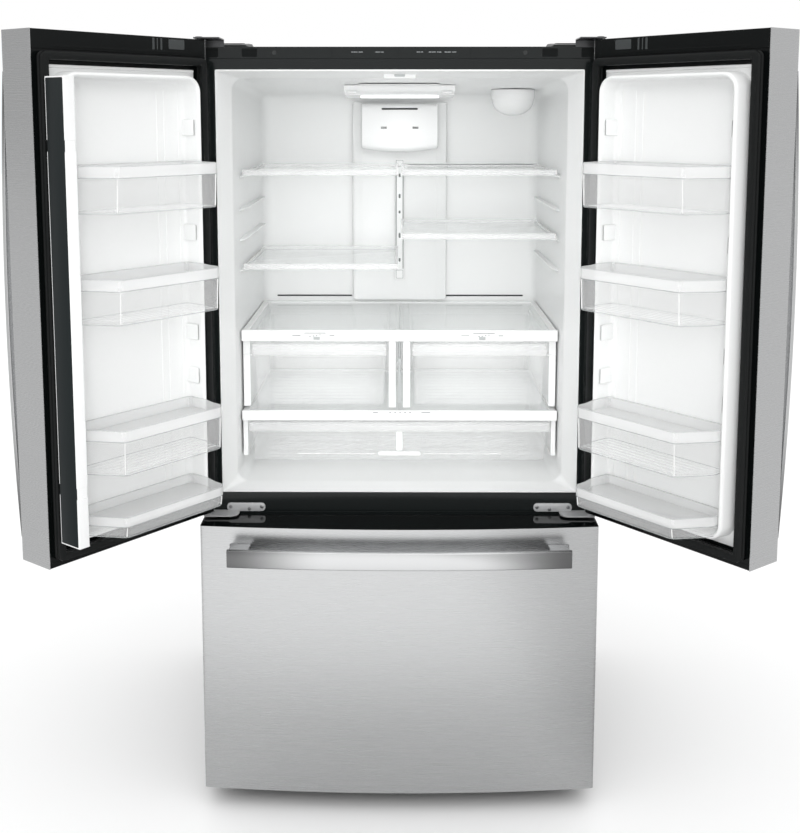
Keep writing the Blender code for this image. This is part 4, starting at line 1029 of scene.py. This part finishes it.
def build_mullion():
    """The folding post: white body, dark outer face plate in a white outline, rounded pivot edge."""
    u, v, z = (0.4082, 0.4338), (0.0332, 0.1008), (0.7482, 1.6718)
    post = Shell()
    section = []
    for x, y, radius, start, stop in (
        (u[1] - 0.002, v[0] + 0.010, 0.002, -70, 0), (u[1] - 0.002, v[1] - 0.002, 0.002, 0, 90),
        (u[0] + 0.003, v[1] - 0.003, 0.003, 90, 180), (u[0] + 0.009, v[0] + 0.010, 0.009, 180, 270),
    ):
        section += arc(x, y, radius, start, stop, 4)
    mid, high = (0.849, 0.871), (1.529, 1.551)
    for levels in ((z[0], mid[0]), (mid[1], high[0]), (high[1], z[1])):
        post.prism(section, levels)
    web = rrect(grow(u, -0.001), (0.0620, v[1] - 0.001), 0.002, 3)
    for levels in (mid, high):
        post.prism(web, grow(levels, 0.001))
    make("post_body", post, WHITE_GLOSS, ["mullion"], body="mullion", place=PIN,
         bevel=0.0005)
    plate = Shell()
    levels = ((0.4325, 0.0), (0.4337, 0.0), (0.4340, 0.0004))
    plate.pad("X", (0.0440, 0.0975), (0.7505, 1.6693), levels, 0.0025, 3)
    make("post_face", plate, GREY_BLACK, body="mullion", place=PIN)
    ends = Shell()
    for a, b in ((z[0] - 0.0002, z[0] + 0.004), (z[1] - 0.004, z[1] + 0.0002)):
        ends.pad("Z", (u[0] + 0.0004, u[1] - 0.0002), (0.046, v[1] + 0.0002), (a, b), 0.002, 3)
    make("post_end_caps", ends, WHITE, body="mullion", place=PIN, bevel=0.0006)


def screw(shell, centre, radius=0.0045, way=-1):
    """A pan head with a cross recess, lying against a face; way is the side of y it stands out on."""
    profile = [(radius, 0.0), (radius, way * 0.0006), (radius * 0.75, way * 0.0016),
               (radius * 0.3, way * 0.0020), (radius * 0.28, way * 0.0009)]
    shell.disc(profile, centre, "Y", 20)


def build_top_hinge(label, place):
    """A cranked strap with its pin, under a ribbed cover that rises towards its back."""
    low, step, thick = 1.7503, 1.7655, 0.003
    outline = [(0.110, low), (0.110, low + thick), (0.0295, low + thick), (0.0295, step + thick),
               (-0.0445, step + thick), (-0.0445, step), (0.0265, step), (0.0265, low)]
    strap = Shell().prism(outline, (0.3952, 0.4000, 0.4480, 0.4523), "X")
    strap.disc([(0.0045, 1.740), (0.0045, 1.7668)], PIN_FOOT, "Z", 24)
    strap.disc([(0.0085, 1.7684), (0.0085, 1.7697), (0.0070, 1.7704)], PIN_FOOT, "Z", 28)
    make(f"{label}_top_strap", strap, HINGE_DARK, [f"{label}_top_hinge"], place=place,
         bevel=0.0008)
    loops, base = [], 1.7541
    for y, high, d in (
        (0.0312, 1.7552, 0.004), (0.0330, 1.7562, 0.001), (0.0800, 1.7600, 0.0), (0.1400, 1.7650, 0.0),
        (0.1600, 1.7660, 0.0), (0.1685, 1.7650, 0.001), (0.1698, 1.7630, 0.004),
    ):
        left, right = grow((0.3452, 0.4523), -d)
        drop = min(0.006, high - base - 0.0004)
        slope = ((0.0, drop), (0.5 * drop, 0.2 * drop), (1.6 * drop, 0.0))
        loop = [(left, base), (right, base)] + [(right - a, high - b) for a, b in slope]
        loops.append(plane(loop + [(left + a, high - b) for a, b in slope[::-1]], "Y", y))
    cover = Shell().loft(loops)
    for at in spaced(4, 0.090, 0.018):
        top = 1.7600 + (at - 0.080) * 0.0833
        cover.pad("Z", (0.364, 0.434), (at, at + 0.004), (top - 0.002, top + 0.0009), 0.0018, 3)
    make(f"{label}_top_cover", cover, BLACK_SATIN, [f"{label}_hinge_cover"], place=place)


def build_mid_hinge(label, place):
    """The plated bracket on the crossbar with its arm, pin and screws."""
    low = 0.6795
    levels = ((-0.0004, 0.0), (-0.0028, 0.0), (-0.0032, 0.0005))
    plate = Shell().pad("Y", (0.3132, 0.4028), (low + 0.0002, 0.6998), levels, 0.009, 6)
    arm = [(0.4523, -0.0005), (0.4523, -0.0428), (0.3850, -0.0428), (0.3722, -0.0300), (0.3722, -0.0005)]
    plate.prism(rounded(arm, 0.008, 4), (low, low + 0.003))
    pin = [(0.0075, low + 0.001), (0.0075, low + 0.0050), (0.0045, low + 0.0055), (0.0045, 0.7055),
           (0.0035, 0.7060)]
    plate.disc(pin, PIN_FOOT, "Z", 24)
    make(f"{label}_mid_hinge", plate, ZINC, [f"{label}_middle_hinge"], place=place,
         bevel=0.0005)
    heads = Shell()
    for x, z in ((0.3215, 0.6905), (0.3505, 0.6855), (0.3940, 0.6905)):
        screw(heads, (x, -0.0032, z), 0.0040)
    make(f"{label}_mid_hinge_screws", heads, GREY_METAL, place=place)


def build_hinges():
    """Both sides' hinges, and the pockets at the ends of the control strip above them."""
    for label, side in SIDES.items():
        place = CABINET @ (Matrix.Identity(4) if side > 0 else FLIP)
        build_top_hinge(label, place)
        build_mid_hinge(label, place)
        # The end pockets are flat near-black pads: painted shade.
        pocket = Shell()
        pocket.pad("Y", (0.405, 0.447), (1.7265, 1.7470), (-0.0006, 0.0010), 0.002, 3)
        pocket.pad("Y", (0.318, 0.352), (1.7280, 1.7460), (-0.0005, 0.0010), 0.002, 3)
        make(f"{label}_strip_pockets", pocket, POCKET_SHADE, place=place, bevel=0.0005)


# Freezer drawer


def build_drawer():
    """The freezer drawer: skin, core, inner panel, slide arms, seal, bar, lower bin and basket."""
    body = "freezer_drawer"

    def outer(d):
        return front_section(-0.4515, 0.4515, bow, -0.021, d, steps=72)

    skin = Shell().strip(outer(0.0), outer(SHEET), (0.045, 0.676))
    make("drawer_wrap", skin, STEEL, ["drawer_skin"], body=body)
    core = Shell()
    section = held_back(outer(SHEET + 0.0003), -0.0225)
    core.prism(section, (0.0453, 0.0600))
    core.prism(held_back(section, -0.036), (0.0600, 0.6500))
    core.prism(section, (0.6500, 0.6757))
    border = rrect((-0.4500, 0.4500), (0.0600, 0.6500), 0.002, 4)
    hole = rrect((-0.4103, 0.4103), (0.0847, 0.6497), 0.003, 4)
    rim_around(core, border, hole, -0.036, -0.0222, -0.0215)
    make("drawer_core", core, BLACK_MIRROR, ["drawer_frame"], body=body, bevel=0.0008)
    loops = []
    for y in (-0.0340, -0.0215):
        loops.append(plane(rrect((-0.4098, 0.4098), (0.0852, 0.6492), 0.006, 8), "Y", y))
    for d, y in (
        (-0.003, -0.0210), (0.0, -0.0185), (0.0010, -0.0010), (0.0030, 0.0028), (0.0060, 0.0038),
        (0.0095, 0.0036), (0.0125, 0.0005), (0.0140, -0.0160), (0.0170, -0.0220), (0.0250, -0.0250),
    ):
        dike = rrect(grow((-0.385, 0.385), -d), grow((0.112, 0.632), -d), max(0.008, 0.030 - 0.8 * d), 8)
        loops.append(plane(dike, "Y", y))
    panel = Shell().loft(loops)
    make("drawer_inner_panel", panel, WHITE, ["drawer_liner"], body=body)
    arms = Shell()
    for side in (-1, 1):
        arms.pad("Y", mirrored(side, (0.3722, 0.3838)), (0.4022, 0.4258), (0.0010, 0.3998), 0.003, 4)
        arms.pad("Y", mirrored(side, (0.3835, 0.3852)), (0.4080, 0.4200), (0.0200, 0.3900), 0.003, 4)
    make("drawer_slide_arms", arms, ZINC, body=body, bevel=0.0005)
    build_gasket("drawer", body, CABINET, (-0.4375, 0.4375), (0.0600, 0.6735), -0.0207, -0.0003)
    build_handle("drawer_bar", body, CABINET, -0.384, 0.384, bow, 0.053, 0.0, (0.600, 0.641),
                 "drawer_handle", "X", BAR_STEEL_X)
    tub_shell = Shell()
    tub(tub_shell, (-0.3678, 0.3678), (0.0122, 0.4048), (0.1255, 0.4278), 0.0028, 0.022, 0.006)
    for at in spaced(9, 0.060, 0.036):
        tub_shell.pad("Z", (-0.320, 0.320), (at, at + 0.006), (0.1275, 0.1302), 0.0025, 3)
    make("freezer_bin", tub_shell, WHITE_GLOSS, ["drawer_bin"], body=body)
    basket = Shell()
    tub(basket, (-0.3672, 0.3672), (0.0302, 0.2848), (0.4292, 0.5498), 0.0028, 0.016, 0.005)
    basket.ink = 1
    for at in spaced(6, 0.060, 0.034):
        basket.pad("Z", (-0.330, 0.330), (at, at + 0.005), (0.4318, 0.4334), 0.002, 3)
    basket.pad("Y", (-0.060, 0.060), (0.5360, 0.5490), (0.0306, 0.0325), 0.005, 4)
    make("freezer_basket_tub", basket, [CLEAR, FROSTED], ["drawer_basket"],
         body="freezer_basket")


def build_freezer_room():
    """The freezer compartment, its ribbed rear cover, and the fan behind its guard."""
    liner = Shell()
    outline = [(0.0005, 0.0903), (0.0005, 0.6547), (0.638, 0.6547), (0.638, 0.3303), (0.440, 0.3303),
               (0.440, 0.0903)]
    for side in (-1, 1):
        liner.prism(outline, mirrored(side, (0.403, 0.4130)), "X")
    for y, z in (
        ((0.0005, 0.638), (0.6447, 0.6547)), ((0.0005, 0.440), (0.0903, 0.1003)),
        ((0.628, 0.638), (0.3303, 0.6447)), ((0.430, 0.440), (0.1003, 0.3403)),
        ((0.440, 0.628), (0.3303, 0.3403)),
    ):
        liner.box((-0.403, 0.403), y, z)
    for side in (-1, 1):
        liner.pad("Y", mirrored(side, (0.3905, 0.4035)), (0.4002, 0.4278), (0.0605, 0.4145), 0.003, 4)
        for at in spaced(7, 0.070, 0.052):
            liner.pad("Y", mirrored(side, (0.4008, 0.4035)), (0.150, 0.370), (at, at + 0.006), 0.0012, 2)
    make("freezer_tub", liner, WHITE, ["freezer_liner"], bevel=0.0012)
    cover = Shell()
    y0, y1 = 0.5602, 0.5638
    centre, start = (0.0, 0.575), -math.pi * 3 / 4
    hole = circle(0.056, 48, centre, start)
    square = []
    for a, b in circle(1.0, 48, start=start):
        reach = 0.068 / max(abs(a), abs(b))
        square.append((centre[0] + reach * a, centre[1] + reach * b))
    cover.loft([plane(square, "Y", y1), plane(square, "Y", y0), plane(hole, "Y", y0), plane(hole, "Y", y1)],
               ring=True)
    for x, z in (
        ((-0.4022, -0.068), (0.3703, 0.6437)), ((0.068, 0.4022), (0.3703, 0.6437)),
        ((-0.068, 0.068), (0.3703, 0.507)), ((-0.068, 0.068), (0.643, 0.6437)),
        ((-0.4022, 0.4022), (0.3412, 0.3520)), ((-0.4022, 0.4022), (0.3620, 0.3703)),
    ):
        cover.box(x, (y0, y1), z)
    at = -0.4022
    for x in (-0.26, -0.13, 0.0, 0.13, 0.26):
        cover.box((at, x - 0.040), (y0, y1), (0.3520, 0.3620))
        at = x + 0.040
    cover.box((at, 0.4022), (y0, y1), (0.3520, 0.3620))
    for x in spaced(12, -0.360, 0.0655):
        if abs(x) > 0.075:
            cover.pad("Y", (x - 0.002, x + 0.002), (0.390, 0.625), (0.5588, 0.5606), 0.0015, 3)
    make("freezer_rear_panel", cover, WHITE, ["evaporator_cover"])
    grille = Shell()
    for r in spaced(5, 0.012, 0.0105):
        grille.tube(plane(circle(r, 40, centre), "Y", 0.5590), 0.0011, 8, hoop=(0, 1, 0))
    for (x0, z0), (x1, z1) in zip(circle(0.011, 6, centre), circle(0.0575, 6, centre)):
        grille.tube([(x0, 0.5590, z0), (x1, 0.5595, z1)], 0.0012, 8)
    make("fan_guard", grille, WHITE)
    fan = Shell()
    fan.disc([(0.013, -0.009), (0.016, -0.006), (0.016, 0.009)], (0.0, 0.581, 0.575), "Y", 32)
    for k in range(5):
        loops = []
        for j in range(7):
            share = j / 6
            r = 0.0145 + 0.0370 * share
            chord = 0.010 + 0.012 * share * (1.15 - 0.6 * share)
            pitch = 0.62 - 0.22 * share
            loop = []
            for a, b in ((-1.0, 0.0), (-0.5, 0.0006), (0.0, 0.0009), (0.5, 0.0006), (1.0, 0.0),
                         (0.5, -0.0004), (0.0, -0.0005), (-0.5, -0.0004)):
                turn = math.tau * k / 5 + a * chord / r * math.cos(pitch) * 0.9
                depth = b + a * chord * math.sin(pitch) * 0.55
                loop.append((r * math.cos(turn), 0.581 + depth, 0.575 + r * math.sin(turn)))
            loops.append(loop)
        fan.loft(loops)
    make("fan_wheel", fan, BLACK_SATIN, ["evaporator_fan"], body="evaporator_fan")


for label in DOORS:
    build_door(label)
build_mullion()
build_hinges()
build_drawer()
build_freezer_room()


# Case, back and machine compartment


def build_case():
    """Painted wrap with rolled front edges, the base with its toe grille, feet and rollers."""
    half, low, high, radius = 0.454, 0.040, 1.750, 0.004

    def line(d):
        left = arc(-half + radius, high - radius, radius - d, 180, 90)
        right = arc(half - radius, high - radius, radius - d, 90, 0)
        return [(-half + d, low), *left, *right, (half - d, low)]

    wrap = Shell()
    wrap.prism(line(0.0) + line(SHEET)[::-1], (0.0, 0.746), "Y")
    make("case_wrap", wrap, CASE, ["cabinet_wrapper"])
    flanges = Shell()
    for side in (-1, 1):
        flanges.pad("Y", mirrored(side, (half - 0.0145, half - 0.0012)), (0.0625, 1.7470), (0.7447, 0.7458),
                    0.001, 2)
    make("case_rear_flanges", flanges, CASE, bevel=0.0003)
    w, rim, sheet = FLANGE_HALF, 0.060, 0.003
    outline = [(-w, rim), (-w, 0.030), (w, 0.030), (w, rim), (w - sheet, rim), (w - sheet, 0.030 + sheet),
               (-w + sheet, 0.030 + sheet), (-w + sheet, rim)]
    base = Shell().prism(outline, (0.0123, 0.740), "Y")
    make("base_tray", base, CASE, ["base_pan"], bevel=0.0006)
    toe = Shell()
    for low in spaced(4, 0.0120, 0.0055):
        toe.box((-0.440, 0.440), (0.0123, 0.0163), (low, low + 0.0034))
    for x in spaced(23, -0.440, 0.040):
        toe.box((x - 0.0015, x + 0.0015), (0.0133, 0.0175), (0.0120, 0.0320))
    make("toe_grille", toe, BLACK_SATIN, bevel=0.0004)
    feet = Shell()
    for x in (-0.40, 0.40):
        profile = [(0.0165, 0.0), (0.0180, 0.0015), (0.0180, 0.0060), (0.0150, 0.0085), (0.0060, 0.0095),
                   (0.0060, 0.0310)]
        feet.disc(profile, (x, 0.055, 0.0), "Z", 32)
        wheel = [(0.0150, -0.009), (0.0172, -0.007), (0.0172, 0.007), (0.0150, 0.009)]
        feet.disc(wheel, (x, 0.700, 0.0175), "X", 32)
        for side in (-1, 1):
            plate = x + side * 0.0125
            feet.box((plate - 0.001, plate + 0.001), (0.688, 0.712), (0.0120, 0.0310))
    make("feet_and_rollers", feet, BLACK_SATIN)


def build_back():
    """Galvanised rear sheet with pressed ribs, foam plugs and screws, above the louvred cover."""
    sheet = Shell().box((-FLANGE_HALF, FLANGE_HALF), (0.7415, 0.7440), (0.3205, 1.7487))
    for x in (-0.300, -0.100, 0.100, 0.300):
        sheet.pad("Y", (x - 0.012, x + 0.012), (0.400, 1.660),
                  ((0.7438, -0.003), (0.7458, 0.0), (0.7462, 0.0020)), 0.010, 5)
    sheet.pad("Y", (-0.420, 0.420), (1.690, 1.700), (0.7438, 0.7455), 0.004, 4)
    make("rear_sheet", sheet, GALVANISED, ["back_panel"], bevel=0.0005)
    plugs = Shell()
    for x, z in ((-0.200, 1.520), (0.200, 1.520), (0.0, 0.420)):
        plugs.disc([(0.0160, 0.7438), (0.0160, 0.7452), (0.0140, 0.7462)], (x, 0.0, z), "Y", 32)
    make("foam_plugs", plugs, WHITE)
    screws = Shell()
    spots = [(x, z) for x in (-0.440, -0.220, 0.0, 0.220, 0.440) for z in (0.3300, 1.7380)]
    spots += [(x, z) for z in (0.560, 0.800, 1.040, 1.280, 1.520) for x in (-0.434, 0.434)]
    spots += [(x, z) for x in (-0.425, -0.145, 0.145, 0.425) for z in (0.0720, 0.3100)]
    for x, z in spots:
        screw(screws, (x, 0.7441, z), way=1)
    make("rear_screws", screws, ZINC)
    cover = Shell()
    low, high, w = 0.0627, 0.3188, 0.4487
    ys = (0.7415, 0.7442)
    columns, reach = (-0.29, 0.0, 0.29), 0.085
    edges = [-w] + [x + s * reach for x in columns for s in (-1, 1)] + [w]
    for a, b in zip(edges[::2], edges[1::2]):
        cover.box((a, b), ys, (low, high))
    for x in columns:
        levels = [low] + [0.105 + 0.040 * row + d for row in range(5) for d in (0.0, 0.010)] + [high]
        for a, b in zip(levels[::2], levels[1::2]):
            cover.box((x - reach, x + reach), ys, (a, b))
        for z in spaced(5, 0.105, 0.040):
            hood = [(0.7440, z + 0.0100), (0.7462, z + 0.0010), (0.7456, z + 0.0005), (0.7432, z + 0.0100)]
            cover.prism(hood, (x - reach, x + reach), "X")
    make("machine_cover", cover, CASE, ["rear_cover"])


def galvanised():
    """Zinc-coated sheet with its leafy spangle."""
    made, tree, shader = new_material("galvanised_sheet", (0.56, 0.57, 0.58), 0.42, metallic=1.0)
    cells = add_node(tree, "TexVoronoi", "Distance", {"Vector": coordinates(tree), "Scale": 90.0})
    tone = tinted(tree, cells, (0.50, 0.51, 0.52), (0.62, 0.63, 0.64), 0.1, 0.9)
    gloss = ranged(tree, noise(tree, 60.0), 0.34, 0.50)
    fill(tree, shader, {"Base Color": tone, "Roughness": gloss})
    bumped(tree, noise(tree, 500.0), 0.2, 0.00006, shader)
    return made


GALVANISED = galvanised()


def build_machine():
    """The compressor, the condenser's serpentine and the finned evaporator."""
    centre, profile = (0.220, 0.600, 0.0), []
    for k in range(25):
        t = math.radians(-90 + 180 * k / 24)
        profile.append((max(AXIS_RADIUS, 0.078 * abs(math.cos(t)) ** 0.45),
                        0.1325 + 0.0925 * math.copysign(abs(math.sin(t)) ** 0.8, t)))
    can = Shell().turned(profile, centre, "Z", 48)
    can.disc([(0.0800, 0.1290), (0.0806, 0.1310), (0.0800, 0.1330)], centre, "Z", 48)
    can.pad("Z", (0.110, 0.330), (0.520, 0.680), (0.0337, 0.0370), 0.012)
    mount = [(0.0110, 0.0365), (0.0120, 0.0400), (0.0100, 0.0440), (0.0120, 0.0480)]
    for x in (0.130, 0.310):
        for y in (0.540, 0.660):
            can.disc(mount, (x, y, 0.0), "Z", 24)
    can.box((0.2850, 0.3080), (0.5850, 0.6250), (0.1150, 0.1650))
    make("compressor_can", can, COMPRESSOR, ["compressor"], bevel=0.001)
    points, turn, rows = [], 0.020, 6
    for row in range(rows):
        z = 0.070 + 2 * turn * row
        start, stop = (-0.370, 0.060)[:: 1 if row % 2 == 0 else -1]
        points += [(start + (stop - start) * k / 6, 0.620, z) for k in range(7)]
        if row < rows - 1:
            outward = math.copysign(turn, stop - start)
            for k in range(1, 8):
                t = math.radians(-90 + 22.5 * k)
                points.append((stop + outward * math.cos(t), 0.620, z + turn * (1 + math.sin(t))))
    coil = Shell().tube(points, 0.003, 12)
    for x in (-0.330, -0.210, -0.090, 0.030):
        coil.box((x - 0.0008, x + 0.0008), (0.6150, 0.6250), (0.0620, 0.2780))
    make("condenser_tube", coil, COMPRESSOR, ["condenser_coil"])
    fins = Shell()
    for x in spaced(66, -0.327, 0.654 / 65):
        fins.box((x - 0.0006, x + 0.0006), (0.5790, 0.6215), (0.346, 0.479))
    for z in spaced(5, 0.362, 0.026):
        fins.tube([(x, 0.600, z) for x in (-0.330, -0.1, 0.1, 0.330)], 0.0045, 12)
    make("finned_coil", fins, ALUMINIUM, ["evaporator"])


build_case()
build_back()
build_machine()


# Stage, light and camera

FLOOR, SKY_TOP = (0.96, 0.96, 0.96), 1.25


def blended(tree, vector, axis, stops):
    """One direction of a vector, ramped between (position, level) stops."""
    (start, low), (stop, high) = stops
    place = component(tree, vector, axis)
    return ranged(tree, place, low, high, start, stop, interpolation_type="SMOOTHSTEP")


def seen_or(tree, seen, other):
    """One level for what the camera sees straight on, and another for light and reflections."""
    straight = add_node(tree, "LightPath", "Is Camera Ray", {})
    return add_node(tree, "Mix", "Result", {"Factor": straight, "A": other, "B": seen})


def build_floor():
    """White paper, with painted shade in its colour that dims it away from the middle of the studio only in
    reflections.
    """
    mesh = bpy.data.meshes.new("floor")
    size = 30.0
    mesh.from_pydata(plane(corners((-size, size), (-size, size)), "Z", 0.0), [], [(0, 1, 2, 3)])
    floor = bpy.data.objects.new("floor", mesh)
    bpy.context.scene.collection.objects.link(floor)
    made, tree, shader = new_material("floor_paper", FLOOR, 0.9, specular=0.1)
    place = coordinates(tree)
    left = blended(tree, place, "X", ((-2.4, 0.60), (-0.7, 1.0)))
    right = blended(tree, place, "X", ((0.35, 1.0), (0.75, 0.64)))
    off_left = blended(tree, place, "X", ((-1.5, 1.0), (-0.8, 0.0)))
    off_right = blended(tree, place, "X", ((0.8, 0.0), (1.5, 1.0)))
    near = blended(tree, place, "Y", ((-1.30, 1.0), (-0.62, 0.66)))
    aside = combined(tree, "MAXIMUM", off_left, off_right)
    shade = combined(tree, "MAXIMUM", near, aside)
    share = combined(tree, "MULTIPLY", combined(tree, "MULTIPLY", left, right), shade)
    # Painted shade: rays other than the camera's see the paper darker near the front and towards the sides.
    level = seen_or(tree, 1.0, share)
    paper = tinted(tree, noise(tree, 200.0), shaded(0.99, FLOOR), FLOOR)
    fill(tree, shader, {"Base Color": mixed(tree, level, (0.0, 0.0, 0.0), paper)})
    mesh.materials.append(made)


def build_world():
    """A white studio, darker low down at its sides, where the steel's edges look."""
    world = bpy.data.worlds.new("studio")
    bpy.context.scene.world = world
    world.use_nodes = True
    tree = world.node_tree
    way = coordinates(tree, "Generated")
    side = combined(tree, "MULTIPLY", blended(tree, way, "X", ((-0.95, 0.50), (-0.35, 1.0))),
                    blended(tree, way, "X", ((0.15, 1.0), (0.60, 0.68))))
    high = blended(tree, way, "Z", ((0.15, 0.0), (0.60, 1.0)))
    level = combined(tree, "ADD", combined(tree, "MULTIPLY", side, combined(tree, "SUBTRACT", 1.0, high)),
                     combined(tree, "MULTIPLY", high, SKY_TOP))
    white = (1.0, 1.0, 1.0, 1.0)
    fill(tree, tree.nodes["Background"], {"Strength": seen_or(tree, 1.0, level), "Color": white})


def build_stage():
    build_floor()
    build_world()
    bpy.context.scene.view_settings.view_transform = "Standard"
    bpy.context.scene.cycles.transparent_max_bounces = 40


def area_light(name, place, target, size, power, spread=180.0):
    """A soft light that shows neither to the camera nor in reflections."""
    light = bpy.data.lights.new(name, "AREA")
    light.shape = "RECTANGLE"
    light.size, light.size_y = size
    light.energy = power
    light.spread = math.radians(spread)
    made = bpy.data.objects.new(name, light)
    bpy.context.scene.collection.objects.link(made)
    made.location = place
    made.rotation_euler = (Vector(target) - Vector(place)).to_track_quat("-Z", "Y").to_euler()
    made.visible_camera = False
    made.visible_glossy = False


def build_lights():
    """One light over the front, one into the open compartment, the lamp, and one in each drawer bay."""
    area_light("front_high", (0.0, -3.6, 3.0), (0.0, 0.0, 1.0), (2.4, 1.2), 20.0)
    area_light("cavity_front", (0.0, FLANGE_Y - 2.1, 1.35), (0.0, 0.3, 1.15), (0.9, 0.7), 2.2, spread=50.0)
    area_light("cavity_lamp", (0.0, FLANGE_Y + 0.350, 1.638), (0.0, FLANGE_Y + 0.350, 1.0), (0.20, 0.10),
               0.3)
    for name, z, power in (("crisper_bay_light", 1.048, 0.60), ("deli_bay_light", 0.856, 0.12)):
        area_light(name, (0.0, FLANGE_Y + 0.36, z), (0.0, FLANGE_Y + 0.36, 0.0), (0.66, 0.34), power)


CAMERA = {"focal": 1177.1, "principal": (392.7, 266.56), "x": 0.0011, "distance": 2.661, "height": 1.5958,
          "pitch": 7.267, "yaw": 0.356}


def build_camera():
    """Stand where the photograph was taken, with less lens shift than it fits, for the other views' sake."""
    focal, principal = CAMERA["focal"], CAMERA["principal"]
    data = bpy.data.cameras.new("camera")
    data.sensor_width = 36.0
    data.lens = focal / PHOTO_HEIGHT * data.sensor_width
    data.shift_x = (PHOTO_WIDTH / 2 - principal[0]) / PHOTO_HEIGHT
    data.shift_y = (principal[1] - PHOTO_HEIGHT / 2) / PHOTO_HEIGHT
    data.clip_end = 100.0
    camera = bpy.data.objects.new("camera", data)
    bpy.context.scene.collection.objects.link(camera)
    camera.location = (CAMERA["x"], FLANGE_Y - CAMERA["distance"], CAMERA["height"])
    camera.rotation_euler = (math.radians(90.0 - CAMERA["pitch"]), 0.0, math.radians(CAMERA["yaw"]))
    bpy.context.scene.camera = camera


build_stage()
build_lights()
build_camera()
